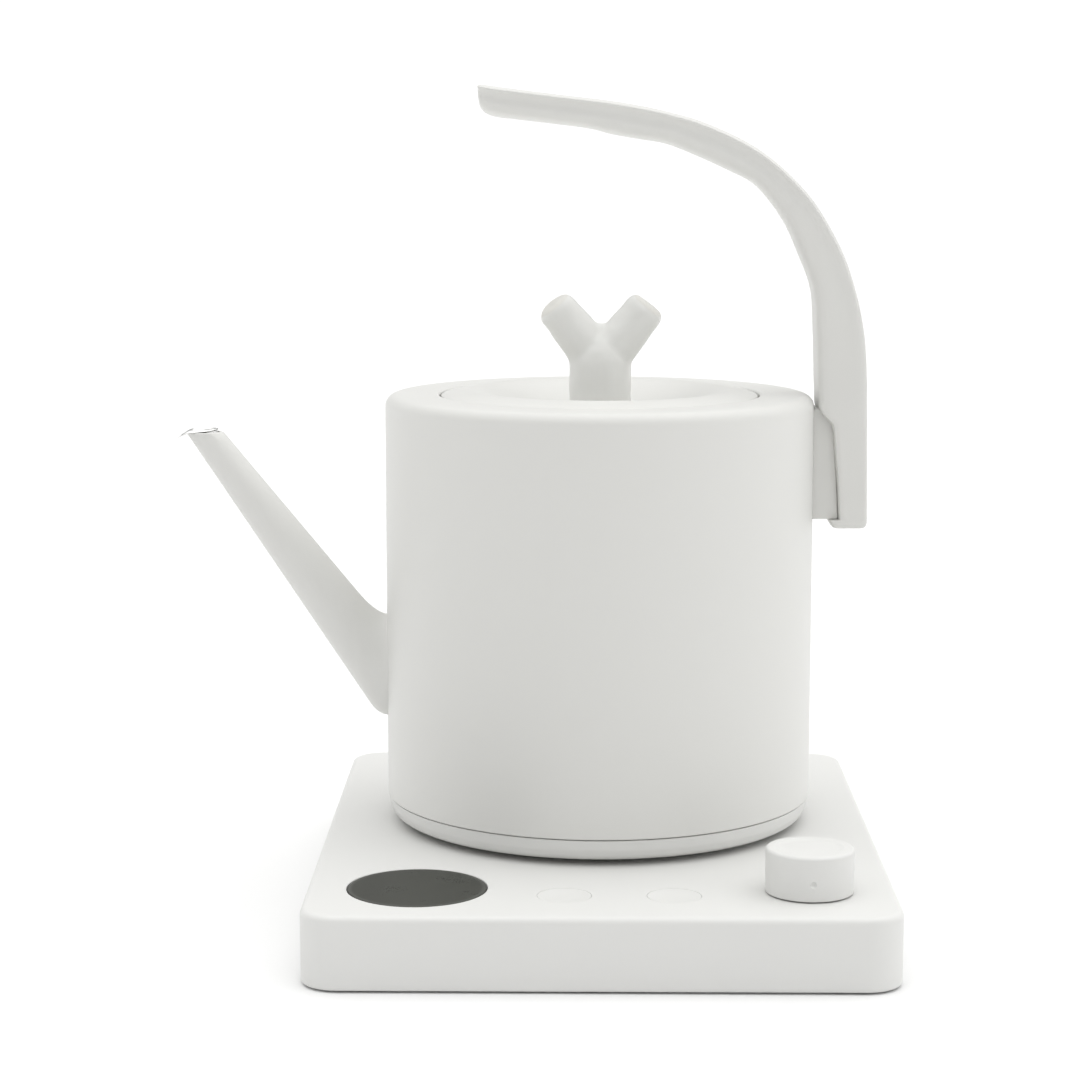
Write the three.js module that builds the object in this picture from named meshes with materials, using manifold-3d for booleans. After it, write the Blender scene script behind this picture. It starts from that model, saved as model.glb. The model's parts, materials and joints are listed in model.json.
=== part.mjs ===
// Electric pouring kettle on a powered base: a straight drum body with a slim
// straight spout, a cantilevered handle, a drop-in lid with a forked twig knob,
// and a flat base with a round display, two keys and a turning, pressing dial.
// Units are millimetres, +Z is up, the controls face -Y and the spout points to -X.

import * as THREE from 'three';
import { mergeVertices } from 'three/addons/utils/BufferGeometryUtils.js';
import Module from 'manifold-3d';

const wasm = await Module();
wasm.setup();

// ---------------------------------------------------------------- dimensions

const gap = 0.3;                 // air between pieces that meet

// Powered base. Its front face is at y = -96.
const baseWidth = 162.2;
const baseDepth = 198;
const baseMiddleY = 3;
const backFace = baseMiddleY + baseDepth / 2;
const baseCorner = 10.5;
const baseEdge = 1.8;            // rounding of the top and bottom edges
const baseWall = 2.4;
const baseUnderside = 0.6;
const baseTop = 21;
const roofUnderside = baseTop - baseWall;
const coverTop = 3.4;
const boardTop = 9;
const boardThickness = 1.6;
const bossOffsetX = 69;
const bossOffsetY = 87;
const footOffsetX = 61;
const footOffsetY = 77;
const footRadius = 7;
const boardPosts = [[-60, -82], [60, -82], [-24, -58], [38, -58], [16, 49], [62, 49], [39, 83]];

// Controls on the front strip of the base.
const display = { x: -50.6, y: -66.7, radius: 19.2, thickness: 1.3 };
const keyPlaces = { left: [-10, -74.3], right: [20, -74.3] };
const keyRadius = 7.4;
const keyDish = 0.5;
const dial = { x: 57.15, y: -69.8, radius: 12.1, bottom: 21.4, top: 33.7 };
const shaftRadius = 2.9;
const bushRadius = 3.6;
const shaftBore = 3.3;

// Cord outlet in the back wall.
const gland = { x: -45, z: 11, flange: 7.5, barrel: 5.6, bore: 3.6 };

// Kettle, drawn about its own vertical axis, which stands at seatY on the base.
const seatY = 17.3;
const bodyRadius = 64;
const bodyWall = 1.2;
const bodyBottom = 29.2;
const bodyTop = 150;
const bodyEdge = 3.4;            // rounding where the wall turns into the rim
const ringBottom = 22.7;
const neckRadius = 47.9;
const neckLedge = 143.6;
const ledgeRadius = 45.2;
const floorTop = 44.6;
const rimFoot = 36;               // lower edge of the floor's turned-down rim
const towerRadius = 15.5;
const towerTop = 33;
const couplerRadius = 22;
const couplerBore = 16.5;

// Spout: a straight cone. Its imagined point lies above and beyond the tip.
const spoutPoint = { x: -170.7, z: 208.7 };
const spoutTilt = THREE.MathUtils.degToRad(53.57);    // below the horizontal
const spoutTaper = 0.0515;                            // radius gained per unit of length
const spoutWall = 1;
const spoutMouth = 138.3;
const spoutHeel = 51.8;
const spoutCollar = { from: -67.2, z: 67.35, halfHeight: 15.5, halfWidth: 10.6 };

// Handle and its bracket on the body's right side.
const handleWidth = 20;
const bracketWidth = 13;
const tongueWidth = 7;
const handleScrewX = 73.6;

// Lid with its forked knob.
const lidRadius = 47.3;
const lidTop = 149.7;
const crownTop = 151.4;            // highest ring of the lid, round the dish
const dishRadius = 39.5;
const dishFloor = 142.5;
const lidScrewRadius = 2;
const twigTrunk = 9.2;
const twigArm = 5.7;
const twigFork = { x: 0.3, z: 157.3 };
const twigEnds = [{ x: -13.9, z: 176.7 }, { x: 14.9, z: 176.7 }];

// The finished object is moved along X so that its box is centred on the origin.
const centreShift = 22.75;

const fine = 40;                 // facets around the body
const inner = 28;                // facets around what it hides
const medium = 20;
const coarse = 12;

// ------------------------------------------------------------------ finishes

const finishes = {
  whitePaint: { color: 0xe9eae6, roughness: 0.55, metalness: 0 },
  whitePlastic: { color: 0xececea, roughness: 0.5, metalness: 0 },
  greyPlastic: { color: 0xc9cac8, roughness: 0.6, metalness: 0 },
  blackPlastic: { color: 0x26282a, roughness: 0.6, metalness: 0 },
  darkGlass: { color: 0x4f514c, roughness: 0.2, metalness: 0 },
  steel: { color: 0xb9bbbd, roughness: 0.25, metalness: 1 },
  brass: { color: 0xc9a65a, roughness: 0.35, metalness: 1 },
  silicone: { color: 0xd8dad8, roughness: 0.8, metalness: 0 },
  rubber: { color: 0x8b8d8c, roughness: 0.9, metalness: 0 },
  circuitBoard: { color: 0x2f6a45, roughness: 0.6, metalness: 0 },
};

// ------------------------------------------------------------------- helpers

// A closed three.js geometry as a solid that can be joined and cut.
function solid(geometry) {
  const bare = geometry.clone();
  bare.deleteAttribute('normal');
  bare.deleteAttribute('uv');
  const merged = mergeVertices(bare, 1e-4);
  const corners = merged.index.array;
  const triangles = [];
  for (let i = 0; i < corners.length; i += 3) {
    const [a, b, c] = [corners[i], corners[i + 1], corners[i + 2]];
    if (a !== b && b !== c && c !== a) triangles.push(a, b, c);
  }
  return new wasm.Manifold(new wasm.Mesh({
    numProp: 3,
    vertProperties: Float32Array.from(merged.attributes.position.array),
    triVerts: Uint32Array.from(triangles),
  }));
}

// A solid back as a three.js geometry.
function surface(body) {
  const mesh = body.getMesh();
  const geometry = new THREE.BufferGeometry();
  geometry.setAttribute('position', new THREE.BufferAttribute(mesh.vertProperties, 3));
  geometry.setIndex(new THREE.BufferAttribute(mesh.triVerts, 1));
  geometry.computeVertexNormals();
  return geometry;
}

// Points along a quarter-like arc, from one angle to another, in degrees.
function arc(centreR, centreZ, radius, from, to, steps) {
  const points = [];
  for (let i = 0; i <= steps; i += 1) {
    const angle = THREE.MathUtils.degToRad(from + ((to - from) * i) / steps);
    points.push([centreR + radius * Math.cos(angle), centreZ + radius * Math.sin(angle)]);
  }
  return points;
}

// A profile of [radius, height] pairs turned about the Z axis. The profile is
// given anticlockwise and closes on itself or on the axis.
function turned(profile, facets) {
  const points = profile.map(([r, z]) => new THREE.Vector2(r, z));
  const closed = profile[0][0] > 0 || profile[profile.length - 1][0] > 0;
  if (closed) points.push(points[0].clone());
  const geometry = new THREE.LatheGeometry(points, facets);
  geometry.rotateX(Math.PI / 2);
  return solid(geometry);
}

function rod(radius, bottom, top, x = 0, y = 0, facets = coarse) {
  const geometry = new THREE.CylinderGeometry(radius, radius, top - bottom, facets);
  geometry.rotateX(Math.PI / 2);
  geometry.translate(x, y, (top + bottom) / 2);
  return solid(geometry);
}

function block(width, depth, bottom, top, x = 0, y = 0) {
  const geometry = new THREE.BoxGeometry(width, depth, top - bottom);
  geometry.translate(x, y, (top + bottom) / 2);
  return solid(geometry);
}

function roundedRectangle(width, depth, radius) {
  const [w, d, r] = [width / 2, depth / 2, radius];
  const shape = new THREE.Shape();
  shape.moveTo(r - w, -d);
  shape.lineTo(w - r, -d);
  shape.absarc(w - r, r - d, r, -Math.PI / 2, 0, false);
  shape.lineTo(w, d - r);
  shape.absarc(w - r, d - r, r, 0, Math.PI / 2, false);
  shape.lineTo(r - w, d);
  shape.absarc(r - w, d - r, r, Math.PI / 2, Math.PI, false);
  shape.lineTo(-w, r - d);
  shape.absarc(r - w, r - d, r, Math.PI, 1.5 * Math.PI, false);
  return shape;
}

// A shape in the XY plane raised between two heights, with rounded edges if asked.
function plate(shape, bottom, top, edge = 0, curveSegments = 5) {
  const geometry = new THREE.ExtrudeGeometry(shape, {
    depth: top - bottom - 2 * edge,
    curveSegments,
    bevelEnabled: edge > 0,
    bevelThickness: edge,
    bevelSize: edge,
    bevelOffset: -edge,
    bevelSegments: 2,
  });
  geometry.translate(0, 0, bottom + edge);
  return solid(geometry);
}

// A shape drawn as seen from the front, X to the right and Z up, given a width in Y.
function sideShape(shape, width, edge = 0, curveSegments = 4) {
  const geometry = new THREE.ExtrudeGeometry(shape, {
    depth: width - 2 * edge,
    curveSegments,
    bevelEnabled: edge > 0,
    bevelThickness: edge,
    bevelSize: edge,
    bevelOffset: -edge,
    bevelSegments: 2,
  });
  geometry.translate(0, 0, edge - width / 2);
  geometry.rotateX(Math.PI / 2);
  return solid(geometry);
}

// A round-edged profile about the spout's own axis: [radius, distance from its point].
function aboutSpout(profile, facets) {
  const points = profile.map(([r, u]) => new THREE.Vector2(r, -u));
  points.push(points[0].clone());
  const geometry = new THREE.LatheGeometry(points, facets);
  geometry.rotateZ(Math.PI / 2 - spoutTilt);
  geometry.rotateX(Math.PI / 2);
  geometry.translate(spoutPoint.x, 0, spoutPoint.z);
  return solid(geometry);
}

const object = new THREE.Group();
const base = new THREE.Group();
const kettle = new THREE.Group();
kettle.position.y = seatY;
object.add(base, kettle);
object.position.set(centreShift, -baseMiddleY, 0);

function place(group, name, body, finish) {
  const mesh = new THREE.Mesh(surface(body), new THREE.MeshStandardMaterial(finishes[finish]));
  mesh.name = name;
  group.add(mesh);
}

// ---------------------------------------------------------------------- base

function corners(offsetX, offsetY) {
  const [front, back] = [baseMiddleY - offsetY, baseMiddleY + offsetY];
  return [[-offsetX, front], [offsetX, front], [offsetX, back], [-offsetX, back]];
}

// Lid-like housing: walls and roof in one moulding, with screw bosses inside,
// a raised seat round the connector, and openings for everything on the front strip.
function baseTopShell() {
  const outline = roundedRectangle(baseWidth, baseDepth, baseCorner);
  const inside = roundedRectangle(
    baseWidth - 2 * baseWall,
    baseDepth - 2 * baseWall,
    baseCorner - baseWall,
  );
  let shell = plate(outline, baseUnderside, baseTop, baseEdge);
  shell = shell.subtract(plate(inside, baseUnderside - 2, roofUnderside));
  shell = shell.translate([0, baseMiddleY, 0]);
  for (const [x, y] of corners(bossOffsetX, bossOffsetY)) {
    shell = shell.add(rod(3.6, coverTop + gap, roofUnderside + 1, x, y, 16));
    shell = shell.subtract(rod(1.8, coverTop, roofUnderside - 3, x, y, 12));
  }
  shell = shell.add(rod(27, roofUnderside + 1, baseTop + 1.4, 0, seatY, medium));
  shell = shell.subtract(rod(towerRadius + 0.5, roofUnderside - 1, baseTop + 2, 0, seatY, medium));
  const { x, y, radius, thickness } = display;
  shell = shell.subtract(rod(radius + gap, baseTop - thickness - gap, baseTop + 1, x, y, medium));
  shell = shell.subtract(rod(radius - 1.6, roofUnderside - 1, baseTop + 1, x, y, medium));
  for (const [keyX, keyY] of Object.values(keyPlaces)) {
    shell = shell.subtract(rod(keyRadius + gap, roofUnderside - 1, baseTop + 1, keyX, keyY, 24));
  }
  shell = shell.subtract(rod(bushRadius + 0.6, roofUnderside - 1, baseTop + 1, dial.x, dial.y, 24));
  return shell.subtract(glandHole());
}

function alongY(body, x, y, z) {
  return body.rotate([-90, 0, 0]).translate([x, y, z]);
}

function glandHole() {
  const profile = [[0, -4], [gland.barrel + gap, -4], [gland.barrel + gap, -1.3]]
    .concat([[gland.flange + gap, -1.3], [gland.flange + gap, 1], [0, 1]]);
  return alongY(turned(profile, 24), gland.x, backFace, gland.z);
}

// Bush that lines the cord's way out. Its flange sits flush in the back wall.
function cordGland() {
  const { flange, barrel, bore } = gland;
  const profile = [[bore, -7], [barrel, -7], [barrel, -1], [flange, -1], [flange, 0], [bore, 0]];
  return alongY(turned(profile, 24), gland.x, backFace, gland.z);
}

// Floor of the base: a plate inside the walls, with posts under the circuit boards.
function baseBottomCover() {
  const clear = 2 * (baseWall + gap);
  const corner = baseCorner - baseWall - gap;
  const outline = roundedRectangle(baseWidth - clear, baseDepth - clear, corner);
  let cover = plate(outline, baseUnderside + 0.2, coverTop).translate([0, baseMiddleY, 0]);
  for (const [x, y] of corners(bossOffsetX, bossOffsetY)) {
    cover = cover.subtract(rod(1.9, 0, coverTop + 1, x, y, 12));
    cover = cover.subtract(rod(3.3, 0, coverTop - 0.9, x, y, 16));
  }
  for (const [x, y] of corners(footOffsetX, footOffsetY)) {
    cover = cover.subtract(rod(footRadius + gap, 0, baseUnderside + 1, x, y, 20));
  }
  const postTop = boardTop - boardThickness - gap;
  for (const [x, y] of boardPosts) {
    cover = cover.add(rod(2.4, coverTop - 1, postTop, x, y, 8));
  }
  return cover;
}

function coverScrew(x, y) {
  const profile = [[0, 1.4], [2.9, 1.4], [2.9, 2.2], [1.5, 2.2], [1.5, 13], [0, 13.8]];
  return turned(profile, 12).translate([x, y, 0]);
}

function rubberFoot(x, y) {
  const top = baseUnderside + 1 - gap;
  const profile = [[0, 0], [footRadius - 0.5, 0], [footRadius, 0.5], [footRadius, top], [0, top]];
  return turned(profile, 16).translate([x, y, 0]);
}

function keyCap([x, y]) {
  const rim = baseTop - 0.1;
  const flangeTop = roofUnderside - gap;
  const flangeBottom = flangeTop - 1;
  const profile = [[0, 14.7], [1.8, 14.7], [1.8, flangeBottom], [8.5, flangeBottom], [8.5, flangeTop]]
    .concat([[keyRadius, flangeTop], [keyRadius, rim - 0.2], [keyRadius - 0.2, rim]])
    .concat([[keyRadius * 0.7, rim - keyDish * 0.51], [keyRadius * 0.35, rim - keyDish * 0.88]])
    .concat([[0, rim - keyDish]]);
  return turned(profile, 20).translate([x, y, 0]);
}

function keySwitch([x, y]) {
  const housing = block(6.2, 6.2, boardTop + gap, boardTop + 4, x, y);
  return housing.add(rod(1.7, boardTop + 3, boardTop + 4.8, x, y, 12));
}

function encoderBody() {
  const { x, y } = dial;
  let body = block(12.6, 12.6, boardTop + gap, 15.4, x, y);
  body = body.add(rod(bushRadius, 15, 20.4, x, y, 24));
  body = body.subtract(rod(5.3, 10.4, 13.6, x, y, 24));
  return body.subtract(rod(shaftBore, 11, 22, x, y, 24));
}

// Wiper disc inside the encoder. The shaft turns it and slides through it.
function encoderRotor() {
  const profile = [[shaftBore, 10.9], [4.9, 10.9], [4.9, 13.1], [shaftBore, 13.1]];
  return turned(profile, 24).translate([dial.x, dial.y, 0]);
}

function encoderShaft() {
  const { x, y } = dial;
  const shaft = rod(shaftRadius, 11.3, 31.1, x, y, 20);
  return shaft.subtract(block(3, 8, 23, 32, x + shaftRadius + 0.7, y));
}

function controlDial() {
  const { x, y, radius, bottom, top } = dial;
  const round = 1.5;
  const bore = shaftRadius + gap;
  const profile = [[bore, bottom + 0.7], [5, bottom + 0.7], [5, top - 3.4], [10.4, top - 3.4]]
    .concat([[10.4, bottom], [radius - 0.4, bottom], [radius, bottom + 0.4]])
    .concat(arc(radius - round, top - round, round, 0, 90, 4))
    .concat([[8.6, top], [7.6, top - 0.3], [0, top - 0.3], [0, 31.4], [bore, 31.4]]);
  const cap = turned(profile, inner);
  const dimple = rod(0.7, -1, 1, 0, 0, 10).rotate([90, 0, 0]).translate([0, -radius, bottom + 4.6]);
  return cap.subtract(dimple).translate([x, y, 0]);
}

// Tower that the kettle drops on to, with a ring slot and a pin hole in its top.
function baseConnector() {
  const profile = [[0, 6], [12, 6], [12, 15.6], [23, 15.6], [23, roofUnderside - gap]]
    .concat([[towerRadius, roofUnderside - gap], [towerRadius, towerTop - 1.2]])
    .concat([[towerRadius - 1.2, towerTop], [11.2, towerTop], [11.2, 24], [9.4, 24]])
    .concat([[9.4, towerTop], [2.8, towerTop], [2.8, 15], [0, 15]]);
  return turned(profile, medium).translate([0, seatY, 0]);
}

function displayModule() {
  const { x, y, radius } = display;
  return rod(radius - 2, boardTop + gap, roofUnderside - 0.8, x, y, 24);
}

function controlBoard() {
  const outline = roundedRectangle(128, 36, 3);
  return plate(outline, boardTop - boardThickness, boardTop, 0, 3).translate([0, -70, 0]);
}

function powerBoard() {
  const outline = roundedRectangle(50, 46, 3);
  return plate(outline, boardTop - boardThickness, boardTop, 0, 3).translate([36, 66, 0]);
}

place(base, 'base_top_shell', baseTopShell(), 'whitePlastic');
place(base, 'base_bottom_cover', baseBottomCover(), 'whitePlastic');
corners(bossOffsetX, bossOffsetY).forEach(([x, y], i) => {
  place(base, `cover_screw_${i + 1}`, coverScrew(x, y), 'steel');
});
corners(footOffsetX, footOffsetY).forEach(([x, y], i) => {
  place(base, `rubber_foot_${i + 1}`, rubberFoot(x, y), 'rubber');
});
place(
  base,
  'display_lens',
  rod(display.radius, baseTop - display.thickness, baseTop, display.x, display.y, 32),
  'darkGlass',
);
place(base, 'display_module', displayModule(), 'blackPlastic');
for (const [side, where] of Object.entries(keyPlaces)) {
  place(base, `key_${side}`, keyCap(where), 'whitePlastic');
  place(base, `key_switch_${side}`, keySwitch(where), 'blackPlastic');
}
place(base, 'encoder_body', encoderBody(), 'greyPlastic');
place(base, 'encoder_rotor', encoderRotor(), 'blackPlastic');
place(base, 'encoder_shaft', encoderShaft(), 'steel');
place(base, 'control_dial', controlDial(), 'whitePlastic');
place(base, 'control_board', controlBoard(), 'circuitBoard');
place(base, 'power_board', powerBoard(), 'circuitBoard');
place(base, 'power_relay', block(19, 15.5, boardTop + gap, 17.6, 28, 72), 'blackPlastic');
place(base, 'power_transformer', block(18, 16, boardTop + gap, 17.2, 52, 68), 'blackPlastic');
place(base, 'base_connector', baseConnector(), 'blackPlastic');
place(base, 'cord_gland', cordGland(), 'whitePlastic');

// -------------------------------------------------------------------- kettle

// The cone of the spout between two distances from its imagined point.
function spoutCone(from, to, shrink) {
  const radiusAt = (u) => spoutTaper * u - shrink;
  const points = [[0, to], [radiusAt(to), to], [radiusAt(from), from], [0, from]];
  return aboutSpout(points, 24);
}

// Drum wall and rim in one pressing. The rim turns down into a neck with a
// ledge that carries the lid. One wall hole lets the water into the spout.
function kettleBody() {
  const rimUnder = bodyTop - bodyWall;
  const profile = [[bodyRadius - bodyWall, bodyBottom], [bodyRadius, bodyBottom]]
    .concat(arc(bodyRadius - bodyEdge, bodyTop - bodyEdge, bodyEdge, 0, 90, 5))
    .concat([[neckRadius + 0.7, bodyTop], [neckRadius, bodyTop - 0.7], [neckRadius, neckLedge]])
    .concat([[ledgeRadius, neckLedge], [ledgeRadius, neckLedge - bodyWall]])
    .concat([[neckRadius + bodyWall, neckLedge - bodyWall], [neckRadius + bodyWall, rimUnder]])
    .concat(arc(bodyRadius - bodyEdge, bodyTop - bodyEdge, bodyEdge - bodyWall, 90, 0, 3));
  return turned(profile, fine).subtract(spoutCone(165, 195, spoutWall + 0.6));
}

// Outline that the spout's cone is trimmed to: a level mouth and a rounded heel.
function spoutTrim(mouth, heel) {
  const shape = new THREE.Shape();
  shape.moveTo(-140, mouth);
  shape.lineTo(-140, heel + 6);
  shape.lineTo(-70.6, heel + 6);
  shape.quadraticCurveTo(-67.8, heel, -63.2, heel);
  shape.lineTo(-50, heel);
  shape.lineTo(-50, mouth);
  return sideShape(shape, 60);
}

// Short oval collar that spreads the cone where it meets the drum.
function collar() {
  const { from, z, halfHeight, halfWidth } = spoutCollar;
  const oval = rod(1, 0, 8, 0, 0, 24).scale([halfHeight, halfWidth, 1]);
  return oval.rotate([0, 90, 0]).translate([from, 0, z]);
}

function spout() {
  const cone = spoutCone(80, 195, 0).intersect(spoutTrim(spoutMouth, spoutHeel));
  const bore = spoutCone(70, 210, spoutWall).intersect(spoutTrim(150, spoutHeel + spoutWall));
  const drum = rod(bodyRadius + gap, 20, 150, 0, 0, 2 * fine);
  return cone.add(collar()).subtract(bore).subtract(drum);
}

// Bright steel lining of the mouth. It flares into a lip on the pouring side.
function spoutLip() {
  const sheet = 0.45;
  const bore = [[3.35, 97], [2.95, 89], [3.5, 86.6], [5.2, 84.8], [7.3, 84.1]];
  const outside = bore.map(([r, u]) => [r + sheet * 0.8, u + sheet * 0.8]);
  const flared = aboutSpout([...outside, ...bore.reverse()], 20);
  const lip = flared.intersect(block(60, 8.8, 120, spoutMouth + 0.9, -118, 0));
  const wall = spoutCone(80, 100, -0.15).intersect(block(60, 40, 100, spoutMouth + 0.25, -118, 0));
  return lip.subtract(wall.subtract(spoutCone(70, 110, spoutWall + 0.15)));
}

// Ring under the drum, which closes the space with the heater and the coupler.
function bottomRing() {
  const profile = [[23, ringBottom], [60.4, ringBottom], [62.2, 23.8], [63.2, 25.8]]
    .concat([[63.7, bodyBottom - gap], [62.2, bodyBottom - gap], [62.2, 33.4], [60.6, 33.4]])
    .concat([[60.6, 26.6], [58.8, 24.8], [23, 24.8]]);
  let ring = turned(profile, fine);
  for (const [x, y] of ringScrewPlaces()) {
    ring = ring.subtract(rod(1.8, 20, 26, x, y, 12));
    ring = ring.subtract(rod(3.2, 20, ringBottom + 1.1, x, y, 16));
  }
  return ring;
}

function ringScrewPlaces() {
  return [30, 150, 270].map((degrees) => {
    const angle = THREE.MathUtils.degToRad(degrees);
    return [50 * Math.cos(angle), 50 * Math.sin(angle)];
  });
}

function ringScrew([x, y]) {
  const profile = [[0, 22.8], [2.8, 22.8], [2.8, 23.5], [1.5, 23.5], [1.5, 34], [0, 34.8]];
  return turned(profile, 12).translate([x, y, 0]);
}

// Vessel floor with its rim turned down inside the wall, and with the posts that
// the bottom ring is screwed to.
function heatingPlate() {
  const under = floorTop - bodyWall;
  const rim = bodyRadius - bodyWall - 2 * gap;
  const profile = [[0, under], [rim - bodyWall, under], [rim - bodyWall, rimFoot], [rim, rimFoot]]
    .concat([[rim, floorTop - 2], [rim - 2, floorTop], [0, floorTop]]);
  let plateBody = turned(profile, inner);
  for (const [x, y] of ringScrewPlaces()) {
    plateBody = plateBody.add(rod(3.4, 25.1, under + 0.6, x, y, 14));
    plateBody = plateBody.subtract(rod(1.8, 24, 37, x, y, 12));
  }
  return plateBody.subtract(rod(3.3, 40, 50, 0, 50, 16));
}

// Sheathed heater: one turn of round rod under the plate, open between its ends.
function heatingElement() {
  const turn = new THREE.CatmullRomCurve3(
    Array.from({ length: 13 }, (_, i) => {
      const angle = THREE.MathUtils.degToRad(-75 + 27.5 * i);
      return new THREE.Vector3(34 * Math.cos(angle), 34 * Math.sin(angle), 39.3);
    }),
  );
  const section = new THREE.Shape();
  section.absarc(0, 0, 3.4, 0, 2 * Math.PI, false);
  const rounded = { steps: 26, curveSegments: 4, extrudePath: turn };
  return solid(new THREE.ExtrudeGeometry(section, rounded));
}

// Sensor tube that stands up through the vessel floor, behind the middle.
function temperatureProbe() {
  const profile = [[0, 34], [2.9, 34], [2.9, 52], [2.4, 53], [2.4, 62], [1.6, 63.4], [0, 63.8]];
  return turned(profile, 14).translate([0, 50, 0]);
}

// Cup on the heater that meets the base's tower from any direction.
function kettleCoupler() {
  const profile = [[couplerBore, 23.1], [couplerRadius, 23.1], [couplerRadius, 40.6], [1.9, 40.6]]
    .concat([[1.9, 34.6], [couplerBore, 34.6]]);
  return turned(profile, medium);
}

function couplerPin() {
  const profile = [[0, 18.6], [0.8, 18.9], [1.6, 20.4], [1.6, 41.4], [0, 41.4]];
  return turned(profile, 14);
}

function couplerRing() {
  return turned([[10, 26.4], [10.6, 26.4], [10.6, 34.3], [10, 34.3]], 24);
}

// Block on the body's side with a narrow tongue that goes into the handle's foot.
function handleBracket() {
  const face = new THREE.Shape();
  face.moveTo(60, 113.1);
  face.lineTo(71.2, 113.1);
  face.lineTo(70.9, 122);
  face.lineTo(69.2, 141.6);
  face.quadraticCurveTo(68.4, 144.6, 64.9, 144.9);
  face.lineTo(60, 144.9);
  const tongue = block(12, tongueWidth, 114.6, 138, 70, 0);
  const bracket = sideShape(face, bracketWidth, 0.8).add(tongue);
  const screwHole = rod(1.6, 110, 128, handleScrewX, 0, 12);
  return bracket.subtract(screwHole).subtract(rod(bodyRadius + gap, 100, 160, 0, 0, 2 * fine));
}

// Side outline of the handle: a slim beam that swells as it bends down to its foot.
function handleOutline() {
  const point = ([x, z]) => new THREE.Vector2(x, z);
  const top = [[-20.6, 239.1], [-2.9, 237], [14.8, 234.2], [29.5, 230.3], [42.9, 224.3]]
    .concat([[54.5, 215.8], [63.2, 206.2], [70.9, 193.2], [75.6, 180.2], [78.3, 166], [79.2, 148]])
    .concat([[79.6, 124], [79.7, 112.6]]);
  const underside = [[64.4, 158.5], [64.1, 168], [62.9, 181], [56.5, 197], [47.6, 210.4]]
    .concat([[36, 217.2], [19, 223.8], [-0.8, 227.9], [-29.4, 231.5]]);
  const shape = new THREE.Shape();
  shape.moveTo(-35.9, 240.9);
  shape.splineThru(top.map(point));
  shape.quadraticCurveTo(79.4, 110.4, 77.4, 110.4);
  shape.lineTo(70.2, 110.4);
  shape.lineTo(68.4, 112.8);
  shape.lineTo(71.5, 112.8);
  shape.lineTo(71.2, 122);
  shape.lineTo(69.6, 141.7);
  shape.quadraticCurveTo(68.6, 147.6, 64.9, 148.2);
  shape.splineThru(underside.map(point));
  shape.quadraticCurveTo(-34.8, 232, -35.5, 236);
  return shape;
}

function handle() {
  const slot = block(14, tongueWidth + 2 * gap, 114.3, 138.3, 69.3, 0);
  const screwWay = rod(1.9, 100, 130, handleScrewX, 0, 12);
  const headSeat = rod(3.1, 100, 112, handleScrewX, 0, 16);
  return sideShape(handleOutline(), handleWidth, 1.1, 2).subtract(slot).subtract(screwWay)
    .subtract(headSeat);
}

function handleScrew() {
  const profile = [[0, 110.7], [2.8, 110.7], [2.8, 111.7], [1.3, 111.7], [1.3, 124], [0, 124.7]];
  return turned(profile, 12).translate([handleScrewX, 0, 0]);
}

place(kettle, 'kettle_body', kettleBody(), 'whitePaint');
place(kettle, 'kettle_bottom_ring', bottomRing(), 'whitePlastic');
ringScrewPlaces().forEach((where, i) => {
  place(kettle, `ring_screw_${i + 1}`, ringScrew(where), 'steel');
});
place(kettle, 'heating_plate', heatingPlate(), 'steel');
place(kettle, 'heating_element', heatingElement(), 'steel');
place(kettle, 'temperature_probe', temperatureProbe(), 'steel');
place(kettle, 'kettle_coupler', kettleCoupler(), 'blackPlastic');
place(kettle, 'coupler_pin', couplerPin(), 'brass');
place(kettle, 'coupler_ring', couplerRing(), 'brass');
place(kettle, 'spout', spout(), 'whitePaint');
place(kettle, 'spout_lip', spoutLip(), 'steel');
place(kettle, 'handle_bracket', handleBracket(), 'whitePlastic');
place(kettle, 'handle', handle(), 'whitePlastic');
place(kettle, 'handle_screw', handleScrew(), 'steel');

// ----------------------------------------------------------------------- lid

// Outer lid: it rises a little from the seam, then sinks into a smooth dish. A
// skirt drops inside the neck.
function lidCover() {
  const sheet = 1.5;
  const crown = [[lidRadius - 0.4, lidTop], [44.3, 150.5], [41.6, 151.2], [dishRadius, crownTop]];
  const dish = [[37.6, 151], [34.6, 149.1], [30, 146], [24, 143.9], [14, dishFloor + 0.2]];
  const under = [...dish].reverse().map(([r, z]) => [r + 0.5, z - sheet]);
  const profile = [[2.4, dishFloor - sheet], ...under]
    .concat([[41.6, 149.6], [45.7, lidTop - sheet], [45.7, neckLedge + gap]])
    .concat([[lidRadius, neckLedge + gap], [lidRadius, lidTop - 0.4], ...crown, ...dish])
    .concat([[2.4, dishFloor]]);
  return turned(profile, fine);
}

// Inner lid: the plug that hangs in the mouth and carries the seal.
function lidInnerCover() {
  const profile = [[0, 134.5], [43.6, 134.5], [44.5, 135.4], [44.5, 137.2], [43, 137.2]]
    .concat([[43, 141], [44.5, 141], [44.5, 147.6], [43.2, 147.6], [43.2, 142.2], [41.8, 140.8]])
    .concat([[41.8, 136], [0, 136]]);
  return turned(profile, inner);
}

function lidSeal() {
  return turned([[43.3, 137.5], [44.6, 137.5], [44.9, 139.1], [44.6, 140.7], [43.3, 140.7]], inner);
}

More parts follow.
